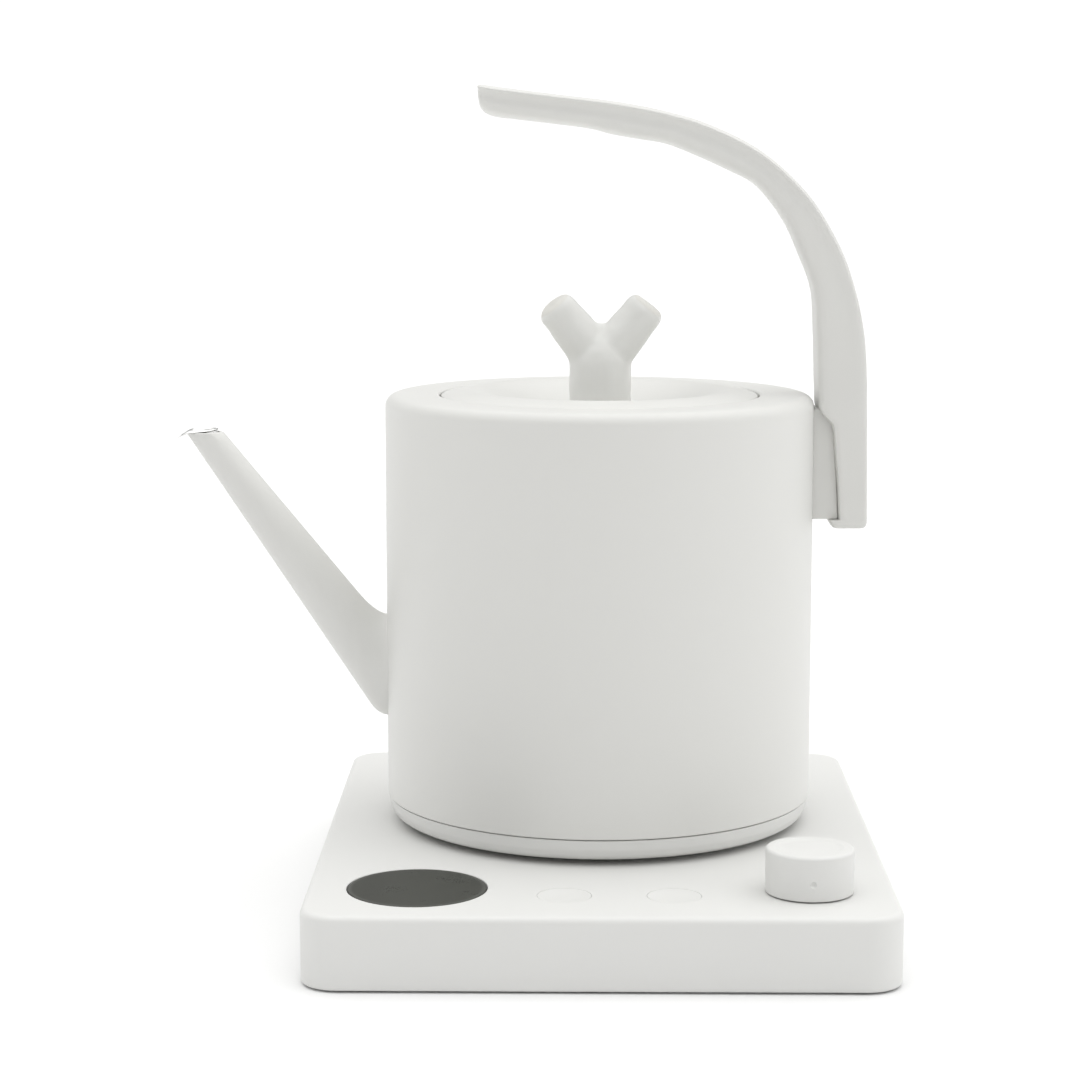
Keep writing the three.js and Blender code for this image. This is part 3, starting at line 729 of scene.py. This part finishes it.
def lid_height(radius):
    """The lid's upper face: a soft crown outside the dish, then the dish."""
    if radius > DISH:
        share = (radius - DISH) / (LID - DISH)
        return CROWN - (CROWN - LID_TOP) * (0.35 * share + 0.65 * share**2)
    share = radius / DISH
    return DISH_FLOOR + (CROWN - DISH_FLOOR) * (0.5 - 0.5 * math.cos(math.pi * share**1.55))


lid_face = [(r, lid_height(r), 0) for r in np.linspace(46.9, 2.4, 64)]
lid_under = [(r + 0.4, lid_height(r) - LID_SHEET, 0) for r in np.linspace(2.4, 41.0, 26)]
lid_rim = [(45.7, LID_TOP - LID_SHEET, 0.3), (45.7, 143.9), (LID, 143.9), (LID, LID_TOP - 0.1, 0.35)]
lid_outline = lid_face + lid_under + lid_rim
turned_part("lid_plate", lid_outline, "lid", "white_paint", "lid_cover", closed=True, steps=160)

plug_outline = [(0.0, 134.5), (43.6, 134.5, 0.6), (44.5, 135.4), (44.5, 137.2), (43.0, 137.2)]
plug_outline += [(43.0, 141.0), (44.5, 141.0), (44.5, 147.6), (43.2, 147.6), (43.2, 142.2)]
plug_outline += [(41.8, 140.8), (41.8, 136.0), (0.0, 136.0)]
turned_part("inner_lid", plug_outline, "lid", "steel", "lid_inner_cover")

seal_outline = [(43.3, 137.5), (44.3, 137.5), (44.9, 138.3, 0.3), (44.3, 139.0), (44.3, 139.3)]
seal_outline += [(44.9, 140.0, 0.3), (44.3, 140.7), (43.3, 140.7)]
turned_part("lid_ring_seal", seal_outline, "lid", "silicone", "lid_seal", closed=True, radius=0.1)

# %% [markdown]
# ## Connector
# The base carries a black tower with a ring slot and a pin hole. The kettle has
# the cup that drops over it from any direction, with a brass pin and a brass
# ring. All of them are turned shapes and show when the kettle is lifted.

# %% Connector
tower_outline = [(0.0, 6.0), (12.0, 6.0), (12.0, 15.6), (23.0, 15.6), (23.0, 18.3), (15.5, 18.3)]
tower_outline += [(15.5, 33.0, 1.2), (11.2, 33.0, 0.4), (11.2, 24.0), (9.4, 24.0)]
tower_outline += [(9.4, 33.0, 0.4), (2.8, 33.0, 0.4), (2.8, 15.0), (0.0, 15.0)]
turned_part("connector_tower", tower_outline, "base", "black_plastic", "base_connector")

cup_outline = [(16.5, 23.1, 0.6), (22.0, 23.1, 0.5), (22.0, 40.6), (1.9, 40.6), (1.9, 34.6)]
cup_outline += [(16.5, 34.6)]
turned_part("connector_cup", cup_outline, "coupler", "black_plastic", "kettle_coupler", closed=True)

pin_outline = [(0.0, 18.6), (0.8, 18.9, 0.4), (1.6, 20.4, 1.0), (1.6, 41.4), (0.0, 41.4)]
turned_part("contact_pin", pin_outline, "coupler", "contact_brass", "coupler_pin", steps=40)

band_outline = [(10.0, 26.4), (10.6, 26.4), (10.6, 34.3), (10.0, 34.3)]
band_way = {"closed": True, "radius": 0.1}
turned_part("contact_band", band_outline, "coupler", "contact_brass", "coupler_ring", **band_way)

# %% [markdown]
# ## Spout
# A plain cone, rolled from sheet, cut level at the mouth. Where it meets the
# drum its lines bend and run level into the wall, and the join is oval and
# crisp. So each line along the cone is followed to a short way before the wall,
# then carried by a curve to its own point on the oval. The inside is made the
# same way, a millimetre smaller.

# %% Spout
SPOUT_POINT = np.array((-170.7, 0.0, 208.7))
SPOUT_AXIS = np.array((0.5938, 0.0, -0.8046))
SPOUT_FRONT = np.array((-0.8046, 0.0, -0.5938))
SPOUT_SIDE = np.array((0.0, 1.0, 0.0))
SPOUT_TAPER = 0.0515
SPOUT_MOUTH = 138.3


def about_spout(along, radius, angle):
    """A point at a radius round the spout's axis, some way down from its point."""
    side = math.cos(angle) * SPOUT_FRONT + math.sin(angle) * SPOUT_SIDE
    return SPOUT_POINT + SPOUT_AXIS * along + radius * side


def along_at_height(z, inset, angle):
    """How far down the cone its line at this angle comes to height z."""
    slope = math.cos(angle) * SPOUT_FRONT[2]
    return (SPOUT_POINT[2] - z - inset * slope) / (-SPOUT_AXIS[2] - SPOUT_TAPER * slope)


ROOT_HIGH = 15.5
ROOT_WIDE = 10.7


def spout_line(angle, inset, mouth):
    """Points from the oval on the drum up the cone to the mouth."""
    root_z = SPOUT_ROOT - (ROOT_HIGH - inset) * math.cos(angle)
    root_y = (ROOT_WIDE - inset) * math.sin(angle)
    root = np.array((-math.sqrt(DRUM**2 - root_y**2) + 0.2, root_y, root_z))
    knee_at = along_at_height(root_z, inset, angle)
    knee = about_spout(knee_at, SPOUT_TAPER * knee_at - inset, angle)
    bend_at = knee_at - 6.9 + 2.2 * math.cos(angle)
    bend = about_spout(bend_at, SPOUT_TAPER * bend_at - inset, angle)
    line = []
    for s in np.linspace(0.0, 1.0, 15)[:-1]:
        line.append((1 - s) ** 2 * root + 2 * s * (1 - s) * knee + s * s * bend)
    top = along_at_height(mouth, inset, angle)
    for s in np.linspace(0.0, 1.0, 25):
        along = bend_at + (top - bend_at) * s
        line.append(about_spout(along, SPOUT_TAPER * along - inset, angle))
    return line


SPOUT_COUNT = 72
spout_lines = []
for i in range(SPOUT_COUNT):
    a = 2 * math.pi * i / SPOUT_COUNT
    outside = spout_line(a, 0.0, SPOUT_MOUTH - 0.25)
    inside = spout_line(a, 1.0, SPOUT_MOUTH - 0.25)
    rim = []
    for inset in (0.22, 0.78):
        along = along_at_height(SPOUT_MOUTH, inset, a)
        rim.append(about_spout(along, SPOUT_TAPER * along - inset, a))
    spout_lines.append([KETTLE + p for p in outside + rim + inside[::-1]])
spout_rings = [list(ring) for ring in zip(*spout_lines)]
spout = settle(new_piece("spout_cone", *loft(spout_rings, joined=True), powder_coat))
hand_over(spout, "kettle", "white_paint", "spout")

# %% [markdown]
# ## Steel lip
# A short polished tube lines the mouth. Round most of the rim it rolls over the
# edge; on the pouring side it flares into a small tongue. Each line blends the
# two outlines by how far it faces forward. Solidify gives the thickness.

# %% Steel lip
def blend_step(value, low, high):
    s = min(max((value - low) / (high - low), 0.0), 1.0)
    return s * s * (3 - 2 * s)


def through(points, count):
    """A smooth line of evenly timed points through the given ones."""
    points = np.array(points, float)
    gaps = np.sqrt(np.linalg.norm(np.diff(points, axis=0), axis=1))
    knots = np.concatenate(([0.0], np.cumsum(gaps)))
    slopes = np.gradient(points, knots, axis=0)
    where = np.linspace(0.0, knots[-1], count)
    i = np.clip(np.searchsorted(knots, where, side="right") - 1, 0, len(knots) - 2)
    span = (knots[i + 1] - knots[i])[:, None]
    s = (where - knots[i])[:, None] / span
    start = (2 * s**3 - 3 * s**2 + 1) * points[i] + (s**3 - 2 * s**2 + s) * span * slopes[i]
    end = (3 * s**2 - 2 * s**3) * points[i + 1] + (s**3 - s**2) * span * slopes[i + 1]
    return start + end


LIP_TOP = 138.6
LIP_BORE = 3.0
lip_lines = []
for i in range(SPOUT_COUNT):
    a = 2 * math.pi * i / SPOUT_COUNT
    rise = SPOUT_POINT[2] - LIP_TOP + SPOUT_FRONT[2] * LIP_BORE * math.cos(a)
    edge = rise / -SPOUT_AXIS[2]
    pour = blend_step(math.cos(a), 0.2, 0.95)
    rolled = [(3.4, edge - 0.3), (3.62, edge - 0.28), (3.8, edge - 0.1), (3.9, edge + 0.15)]
    flared = [(3.5, 84.95), (4.5, 84.55), (5.8, 84.3), (7.4, 84.4)]
    line = [(2.9, edge + 9), (2.95, edge + 4), (3.0, edge + 0.8), (3.15, edge - 0.05)]
    for (r1, u1), (r2, u2) in zip(rolled, flared):
        line.append((r1 + (r2 - r1) * pour, u1 + (u2 - u1) * pour))
    lip_lines.append([KETTLE + about_spout(u, r, a) for r, u in through(line, 26)])
lip_rings = [list(ring) for ring in zip(*lip_lines)]
lip = settle(new_piece("pouring_lip", *loft(lip_rings, caps=False), lip_steel))
thicken = lip.modifiers.new("sheet", "SOLIDIFY")
thicken.thickness = 0.35 * MM
thicken.offset = 0.0
settle(bake_modifiers(lip), crisp=50.0)
hand_over(lip, "kettle", "lip_steel", "spout_lip")

# %% [markdown]
# ## Handle
# A slim arm reaches out over the lid, swells as it bends and runs down behind the
# drum to its foot. Its section has a flat top with a soft shoulder, a shallow
# groove along the flank, and a belly that narrows towards the fingers. Stations
# along the arm give the outer and the inner edge in side view, the width, and
# how far the section has turned from the grip's to the foot's.

# %% Handle
GRIP_SECTION = [(0, 0), (0, 0.5), (0.005, 0.80), (0.05, 0.96), (0.13, 1), (0.27, 0.90)]
GRIP_SECTION += [(0.42, 0.865), (0.62, 0.885), (0.80, 0.81), (0.93, 0.60), (1, 0.28), (1, 0)]
FOOT_SECTION = [(0, 0), (0, 0.5), (0, 0.86), (0.02, 0.96), (0.08, 1), (0.3, 1)]
FOOT_SECTION += [(0.5, 1), (0.7, 1), (0.92, 1), (0.98, 0.96), (1, 0.86), (1, 0)]
HANDLE = [
    # outer x, z, inner x, z, half width, grip 0 to foot 1
    (-35.9, 240.7, -35.7, 236.4, 8.6, 0.0),
    (-35.3, 240.9, -35.3, 234.6, 9.5, 0.0),
    (-33.8, 240.8, -34.2, 233.2, 9.95, 0.0),
    (-31, 240.4, -31.8, 232.0, 10, 0.0),
    (-24, 239.5, -24.5, 231.0, 10, 0.0),
    (-11.8, 238.0, -11.8, 229.5, 10, 0.0),
    (-1, 236.75, -2.5, 228.2, 10, 0.0),
    (6, 235.8, 3.5, 226.7, 10, 0.0),
    (14.8, 234.2, 12, 225.2, 10, 0.0),
    (22, 232.5, 18.7, 224.1, 10, 0.0),
    (29.5, 230.3, 25, 221.9, 10, 0.0),
    (42.9, 224.3, 37.9, 216.2, 10, 0.05),
    (51.2, 218.7, 45.5, 212.2, 10, 0.1),
    (57.8, 212.6, 50.5, 206.8, 10, 0.2),
    (63.3, 206.2, 54.8, 200.6, 10, 0.3),
    (70.9, 193.2, 58.8, 192, 10, 0.42),
    (75.6, 180.2, 62.9, 181.2, 10, 0.58),
    (78.15, 167.7, 64, 168.5, 10, 0.75),
    (79.05, 155, 64.6, 155, 10, 0.9),
    (79.15, 149.5, 64.9, 149.5, 10, 0.97),
    (79.2, 146.4, 65.1, 146.3, 10, 1.0),
    (79.25, 144.2, 66.3, 144.2, 10, 1.0),
    (79.3, 142, 68.6, 142, 10, 1.0),
    (79.35, 139.5, 69.25, 139.5, 10, 1.0),
    (79.5, 131, 70, 131, 10, 1.0),
    (79.6, 124, 70.7, 124, 10, 1.0),
    (79.7, 113.8, 71.3, 113.8, 10, 1.0),
]
grip_half = through(GRIP_SECTION, 24)
foot_half = through(FOOT_SECTION, 24)


def handle_ring(station):
    """One closed ring of the handle's skin."""
    outer = np.array((station[0], 0.0, station[1]))
    inner = np.array((station[2], 0.0, station[3]))
    half = grip_half + (foot_half - grip_half) * station[5]
    flank = [outer + (inner - outer) * h + np.array((0, station[4] * w, 0)) for h, w in half]
    mirrored = [p * np.array((1, -1, 1)) for p in flank[-2:0:-1]]
    return [KETTLE + p for p in flank + mirrored]


handle_rings = [handle_ring(station) for station in through(HANDLE, 170)]
FOOT = [(79.7, 113.1, 71.4, 113.1, 10, 1), (79.7, 113.0, 69.0, 113.0, 10, 1)]
FOOT += [(79.7, 112.8, 68.7, 112.8, 10, 1), (79.7, 112.2, 68.6, 112.4, 10, 1)]
FOOT += [(79.5, 111.3, 68.9, 111.6, 9.8, 1), (79.0, 110.7, 69.6, 110.8, 9.3, 1)]
FOOT += [(78.2, 110.45, 70.4, 110.45, 8.6, 1), (77.7, 110.4, 70.9, 110.4, 8.1, 1)]
handle_rings += [handle_ring(station) for station in FOOT]
handle = settle(new_piece("handle_arm", *loft(handle_rings), handle_coat))
hand_over(handle, "kettle", "handle_plastic", "handle")

# %% [markdown]
# ## Handle bracket
# A small block between drum and handle, narrower than the handle, with a leaning
# outer face. It is a prism with bevelled edges that sinks into the wall.

# %% Handle bracket
BRACKET_HALF = 7.5
side = [(63.3, 113.1), (71.2, 113.1, 0.4), (70.6, 124.0, 6.0), (69.1, 145.8, 2.4), (63.3, 145.8)]
bracket_side = rounded(side, steps=6)
bracket_rings = []
for y in (-BRACKET_HALF, BRACKET_HALF):
    bracket_rings.append([KETTLE + np.array((x, y, z)) for x, z in bracket_side])
bracket = settle(new_piece("bracket_block", *loft(bracket_rings), handle_coat))
bevel = bracket.modifiers.new("edges", "BEVEL")
bevel.width = 0.8 * MM
bevel.segments = 3
bevel.limit_method = "ANGLE"
bevel.angle_limit = math.radians(50)
settle(bake_modifiers(bracket))
hand_over(bracket, "kettle", "handle_plastic", "handle_bracket")

# %% [markdown]
# ## Twig knob
# A stout trunk forks into two arms with flat cut ends, and the fork is filled as
# in a living branch. Trunk, arms and filling are overlapping closed shapes. A
# voxel remesh melts them into one skin, rounds of smoothing soften the joins, and
# a slow noise adds the small lumps that a hand-made pattern leaves.

# %% Twig knob
def tube(start, stop, radii, tilt=0.0, count=40):
    """A round bar with (share of length, radius) rows and a slanted far end."""
    start = np.array(start, float)
    arm = np.array(stop, float) - start
    reach = np.linalg.norm(arm)
    ahead = arm / reach
    side = np.array((0.0, 1.0, 0.0))
    up = np.cross(side, ahead)
    rings = []
    for share, radius in radii:
        ring = []
        for c, s in circle(count):
            out = radius * (c * side + s * up)
            slant = tilt * out[1] * share
            ring.append(KETTLE + start + ahead * (reach * share + slant) + out)
        rings.append(ring)
    return loft(rings)


TRUNK_ROWS = [(0, 9.25), (0.5, 9.25), (0.66, 9.1), (0.8, 8.0), (0.91, 6.2), (0.97, 4.6), (1, 3.4)]
CROTCH_ROWS = [(0, 3), (0.15, 6), (0.4, 7.4), (0.62, 6.6), (0.8, 4.6), (0.93, 2.6), (1, 1.4)]
ARM_ROWS = [(0, 6.8), (0.3, 6.7), (0.55, 6.3), (0.75, 6.0), (0.9, 5.9), (0.96, 5.5), (1, 4.5)]
twig_parts = [tube((0.3, 0, 142.8), (0.3, 0, 168.5), TRUNK_ROWS)]
twig_parts.append(tube((0.4, 0, 157), (0.4, 0, 170.7), CROTCH_ROWS))
for end, tilt in zip(TWIG_ENDS, (0.16, 0.09)):
    twig_parts.append(tube(TWIG_FORK, end, ARM_ROWS, tilt))
knob = joined_tools("twig_knob", twig_parts)
remesh = knob.modifiers.new("melt", "REMESH")
remesh.mode = "VOXEL"
remesh.voxel_size = 0.45 * MM
soften = knob.modifiers.new("soften", "SMOOTH")
soften.factor = 0.5
soften.iterations = 34
bake_modifiers(knob)
knob.data.materials.clear()
knob.data.materials.append(knob_resin)
for vertex in knob.data.vertices:
    spot = vertex.co / MM
    lump = 0.15 + 0.5 * noise.noise(spot * 0.12) + 0.14 * noise.noise(spot * 0.3)
    vertex.co += vertex.normal * (lump * MM)
settle(knob, crisp=75.0)
hand_over(knob, "lid", "knob_resin", "lid_knob")

# %% [markdown]
# ## Base housing
# A flat box with rounded corners and edges, open below. It is lofted from one
# outline at many heights and insets, so the corner and edge roundings flow into
# each other. The kettle's seat is joined to it, then drills with fine chamfers
# cut the openings for window, keys, dial, connector and cord.

# %% Base housing
BASE_TOP = 21.0
BASE_FOOT = 0.6
TOP_EDGE = 1.8
FOOT_EDGE = 0.7
BASE_WALL = 2.4
HALF_WIDTH = 81.1
HALF_DEPTH = 99.0
BASE_CORNER = 10.5


def slab_ring(inset, z, corner_steps=14):
    """The base's outline, moved inwards by an inset."""
    half_width = HALF_WIDTH - inset
    half_depth = HALF_DEPTH - inset
    corner = BASE_CORNER - inset
    ring = []
    for quarter, (sx, sy) in enumerate([(1, 1), (-1, 1), (-1, -1), (1, -1)]):
        centre = np.array((sx * (half_width - corner), sy * (half_depth - corner)))
        for step in range(corner_steps + 1):
            a = math.pi / 2 * (quarter + step / corner_steps)
            x, y = centre + corner * np.array((math.cos(a), math.sin(a)))
            ring.append(BASE + np.array((x, y, z)))
    return ring


def slab_edge(z_flat, towards, radius, steps=6):
    """Rings of the rounding between a flat face and the side."""
    rings = []
    for step in range(steps + 1):
        a = math.pi / 2 * step / steps
        inset = radius * (1 - math.sin(a))
        z = z_flat + towards * radius * (1 - math.cos(a))
        rings.append(slab_ring(inset, z))
    return rings


shell_rings = [slab_ring(BASE_WALL, BASE_TOP - BASE_WALL), slab_ring(BASE_WALL, BASE_FOOT)]
shell_rings += slab_edge(BASE_FOOT, 1, FOOT_EDGE)
shell_rings += [slab_ring(0.0, 2.0), slab_ring(0.0, 18.8)]
shell_rings += slab_edge(BASE_TOP, -1, TOP_EDGE)[::-1]
shell_rings += [slab_ring(TOP_EDGE + 0.4, BASE_TOP), slab_ring(TOP_EDGE + 1.2, BASE_TOP)]
shell = settle(new_piece("base_housing", *loft(shell_rings), base_plastic))
seat_outline = [(0.0, 19.5), (26.9, 19.5, 0), (26.9, 21.0, 0), (26.9, 22.4, 0.6), (0.0, 22.4)]
combine(shell, turn("seat", rounded(seat_outline), base_plastic), "UNION")

lens = middle("display_lens")
left_key = middle("key_left")
right_key = middle("key_right")
knob_dial = middle("control_dial")
SKY = 24.0
WINDOW_SEAT = [(17.6, 16), (17.6, 19.4), (19.5, 19.4), (19.5, 20.85), (19.65, 21.0), (19.65, SKY)]
KEY_HOLE = [(7.5, 16), (7.5, 20.95), (7.55, 21.0), (7.55, SKY)]
drills = [
    stepped_drill(*lens[:2], WINDOW_SEAT, 96),
    stepped_drill(*knob_dial[:2], [(4.2, 16), (4.2, SKY)]),
    stepped_drill(*KETTLE[:2], [(16.0, 16), (16.0, 22.1), (16.3, 22.4), (16.3, SKY)], 80),
]
for key in (left_key, right_key):
    drills.append(stepped_drill(*key[:2], KEY_HOLE, 64))
combine(shell, joined_tools("drills", drills))

CORD = BASE + np.array((-45.0, HALF_DEPTH, 11.0))


def along_cord(steps, count=48):
    """A round shape along the cord's way out: (radius, distance past the wall)."""
    rings = []
    for radius, out in steps:
        rings.append([CORD + np.array((radius * c, out, radius * s)) for c, s in circle(count)])
    return rings


way_steps = [(5.9, -4), (5.9, -1.3), (7.8, -1.3), (7.8, 1)]
settle(combine(shell, joined_tools("cord way", [loft(along_cord(way_steps))])))
hand_over(shell, "base", "white_plastic", "base_top_shell")

bush_steps = [(3.6, -6.7), (3.9, -7.0), (5.4, -7.0), (5.6, -6.8), (5.6, -1.0), (7.3, -1.0), (7.5, -0.8)]
bush_steps += [(7.5, -0.3), (7.2, 0.0), (4.2, 0.0), (3.75, -0.15), (3.6, -0.6)]
bush = settle(new_piece("cord_bush", *loft(along_cord(bush_steps), joined=True), base_plastic))
hand_over(bush, "base", "white_plastic", "cord_gland")

# %% [markdown]
# ## Window, keys and dial
# All three are turned. The window sits flush in its recess. The keys are
# shallow dishes with a hair-fine rim, so they show only as two pale rings. The
# dial is a plain drum with a rounded upper edge and a top that dips slightly;
# a drilled dimple in its side marks where it points.

# %% Window and keys
WINDOW = 19.2
WINDOW_FOOT = BASE_TOP - 1.3
window_outline = [(0.0, WINDOW_FOOT), (WINDOW, WINDOW_FOOT), (WINDOW, BASE_TOP, 0.3), (0.0, BASE_TOP)]
window_way = {"centre": lens, "steps": 128}
turned_part("display_window", window_outline, "base", "display_glass", "display_lens", **window_way)

key_outline = [(0.0, 14.7), (1.8, 14.7), (1.8, 17.3), (8.5, 17.3), (8.5, 18.3), (7.4, 18.3)]
key_outline += [(7.4, 20.97, 0.08)]
key_outline += [(r, 20.4 + 0.57 * (r / 7.2) ** 2.4, 0) for r in np.linspace(7.2, 0.0, 14)]
for side, place in (("left", left_key), ("right", right_key)):
    names = (side + "_key", "white_plastic", "key_" + side)
    turned_part(side + "_key_cap", key_outline, *names, centre=place, steps=64)

# %% Dial
DIAL = 12.1
DIAL_TOP = 33.7
dial_outline = [(0.0, 31.4), (3.2, 31.4), (3.2, 22.3), (5.0, 22.3), (5.0, 30.3), (10.4, 30.3)]
dial_outline += [(10.4, 21.4), (DIAL, 21.4, 0.25), (DIAL, DIAL_TOP, 0.9), (9.2, DIAL_TOP, 0.8)]
dial_outline += [(8.2, 33.42, 0.8), (0.0, 33.4)]
dial = turn("dial_cap", rounded(dial_outline, steps=7), base_plastic, knob_dial, 112)
DIMPLE_HEIGHT = 26.2
dial_axis = np.array((*knob_dial[:2], 0.0))
dimple_rings = []
for radius, inward in ((0.95, -1.0), (0.95, -0.02), (0.6, 0.35), (0.3, 0.5)):
    spots = [(radius * c, inward - DIAL, DIMPLE_HEIGHT + radius * s) for c, s in circle(24)]
    dimple_rings.append([dial_axis + np.array(spot) for spot in spots])
settle(combine(dial, joined_tools("dimple", [loft(dimple_rings)])))
hand_over(dial, "dial", "white_plastic", "control_dial")

# %% [markdown]
# ## Screws
# The same pan-head screw holds the base cover, the ring and the handle. A node
# tree makes one head with a cross recess, adds the shank, and sets a copy on
# every point it is given, so one number changes them all.

# %% Screw tree
def screw_tree():
    sizes = ("Head Radius", "Head Height", "Shank Radius", "Length")
    tree, graph, given = new_tree("pan-head screw", sizes)
    radius = given["Head Radius"]
    height = given["Head Height"]
    ball = graph.node("GeometryNodeMeshUVSphere", {}, {"Segments": 32, "Rings": 16, "Radius": radius})
    flat = graph.xyz(X=1.0, Y=1.0, Z=height / radius)
    head = graph.node("GeometryNodeTransform", {}, {"Geometry": ball, "Scale": flat})
    bars = graph.node("GeometryNodeJoinGeometry")
    joiner = bars.socket.node.inputs[0]
    for along, across in ((1.1, 0.22), (0.22, 1.1)):
        bar_size = graph.xyz(X=radius * along, Y=radius * across, Z=height * 1.2)
        bar = graph.node("GeometryNodeMeshCube", {}, {"Size": bar_size})
        graph.feed(joiner, graph.lifted(bar, height * -1.0))
    sockets = {"Mesh 1": head, "Mesh 2": bars}
    cut = graph.node("GeometryNodeMeshBoolean", {"operation": "DIFFERENCE"}, sockets)
    shank_sizes = {"Vertices": 20, "Radius": given["Shank Radius"], "Depth": given["Length"]}
    rod = graph.node("GeometryNodeMeshCylinder", {}, shank_sizes)
    shank = graph.lifted(rod, given["Length"] * 0.5)
    whole = graph.node("GeometryNodeJoinGeometry")
    graph.feed(whole.socket.node.inputs[0], cut)
    graph.feed(whole.socket.node.inputs[0], shank)
    set_copies(graph, given, whole)
    return tree


screw = screw_tree()


def screws(name, places, radius, height, shank, length):
    sizes = {"Head_Radius": radius * MM, "Head_Height": height * MM}
    sizes.update({"Shank_Radius": shank * MM, "Length": length * MM})
    return settle(run_tree(name, screw, places, brushed_steel, **sizes), crisp=40.0)


def box_middles(nodes, z):
    """The middles of some nodes' boxes, all at height z."""
    return [np.array((*middle(node)[:2], z)) for node in nodes]


cover_nodes = ["cover_screw_" + str(i) for i in (1, 2, 3, 4)]
cover_screws = screws("base_screws", box_middles(cover_nodes, 2.2), 2.9, 0.8, 1.5, 11.6)
hand_over(cover_screws, "base", "steel", *cover_nodes)
ring_nodes = ["ring_screw_" + str(i) for i in (1, 2, 3)]
ring_screws = screws("ring_screws", box_middles(ring_nodes, 23.5), 2.8, 0.7, 1.5, 11.3)
hand_over(ring_screws, "kettle", "steel", *ring_nodes)
foot_screw = screws("handle_foot_screw", box_middles(["handle_screw"], 111.5), 2.8, 0.7, 1.3, 14.0)
hand_over(foot_screw, "kettle", "steel", "handle_screw")

# %% [markdown]
# ## Rubber feet
# Four round pads keep the base from sliding. The tree makes a low disc, sweeps a
# small round section along three circles for its gripping rings, and sets the
# finished foot on each of the four places.

# %% Rubber feet
def foot_tree():
    tree, graph, given = new_tree("ribbed foot", ("Radius", "Height", "Rib"))
    depth = given["Height"] - given["Rib"]
    sockets = {"Vertices": 48, "Radius": given["Radius"], "Depth": depth}
    pad = graph.node("GeometryNodeMeshCylinder", {}, sockets)
    whole = graph.node("GeometryNodeJoinGeometry")
    joiner = whole.socket.node.inputs[0]
    graph.feed(joiner, graph.lifted(pad, given["Rib"] + depth * 0.5))
    sockets = {"Resolution": 10, "Radius": given["Rib"]}
    section = graph.node("GeometryNodeCurvePrimitiveCircle", {}, sockets)
    for share in (0.3, 0.6, 0.9):
        sockets = {"Resolution": 48, "Radius": given["Radius"] * share}
        path = graph.node("GeometryNodeCurvePrimitiveCircle", {}, sockets)
        rib = graph.node("GeometryNodeCurveToMesh", {}, {"Curve": path, "Profile Curve": section})
        graph.feed(joiner, graph.lifted(rib, given["Rib"]))
    set_copies(graph, given, whole)
    return tree


foot_nodes = ["rubber_foot_" + str(i) for i in (1, 2, 3, 4)]
foot_sizes = {"Radius": 7.0 * MM, "Height": 1.3 * MM, "Rib": 0.25 * MM}
foot_places = box_middles(foot_nodes, 0.0)
feet = run_tree("ribbed_feet", foot_tree(), foot_places, foot_rubber, **foot_sizes)
hand_over(settle(feet), "base", "foot_rubber", *foot_nodes)

# %% [markdown]
# ## Studio
# The kettle stands in a white tent: a pale floor that runs out of sight, and
# light from every side, as a formula on its direction. It is brightest behind and
# overhead and weakest from the front, and stronger on the right than on the left,
# which gives the white drum its slow shading.

# %% Studio
paper, paper_graph, paper_shader = new_finish("paper sweep", Roughness=0.9, Specular_IOR_Level=0.0)
fibre = paper_graph.speckle(paper_graph.place(), 900.0, 2.0)
paper_graph.feed(paper_shader["Base Color"], paper_graph.blend(fibre, grey(0.85), grey(0.87)))
FAR = 4000
floor_corners = [(-FAR, -FAR, 0), (FAR, -FAR, 0), (FAR, FAR, 0), (-FAR, FAR, 0)]
floor = new_piece("floor", floor_corners, [(0, 1, 2, 3)], paper)

world = bpy.data.worlds.new("tent")
bpy.context.scene.world = world
world.use_nodes = True
sky = Graph(world.node_tree)
direction = sky.node("ShaderNodeTexCoord", output="Generated")
dx, dy, dz = sky.parts(direction)
high = sky.maths("MAXIMUM", dz, 0.0)
right = sky.maths("MAXIMUM", dx, 0.0)
left = sky.maths("MAXIMUM", dx * -1.0, 0.0)
front = sky.maths("MAXIMUM", dy * -1.0, 0.0)
horizon = sky.smooth(dz, 0.2, 0.06) * sky.smooth(dy, 0.2, 0.6)
glow = 0.31 + 1.85 * high * high + 0.76 * right * right + 0.25 * left * left
glow = glow - 0.2 * front * front
glow = glow + horizon * (1.06 - glow)
tent = world.node_tree.nodes["Background"].inputs
sky.feed(tent["Color"], (1.0, 1.0, 0.995, 1.0))
sky.feed(tent["Strength"], glow)
print("studio ready")
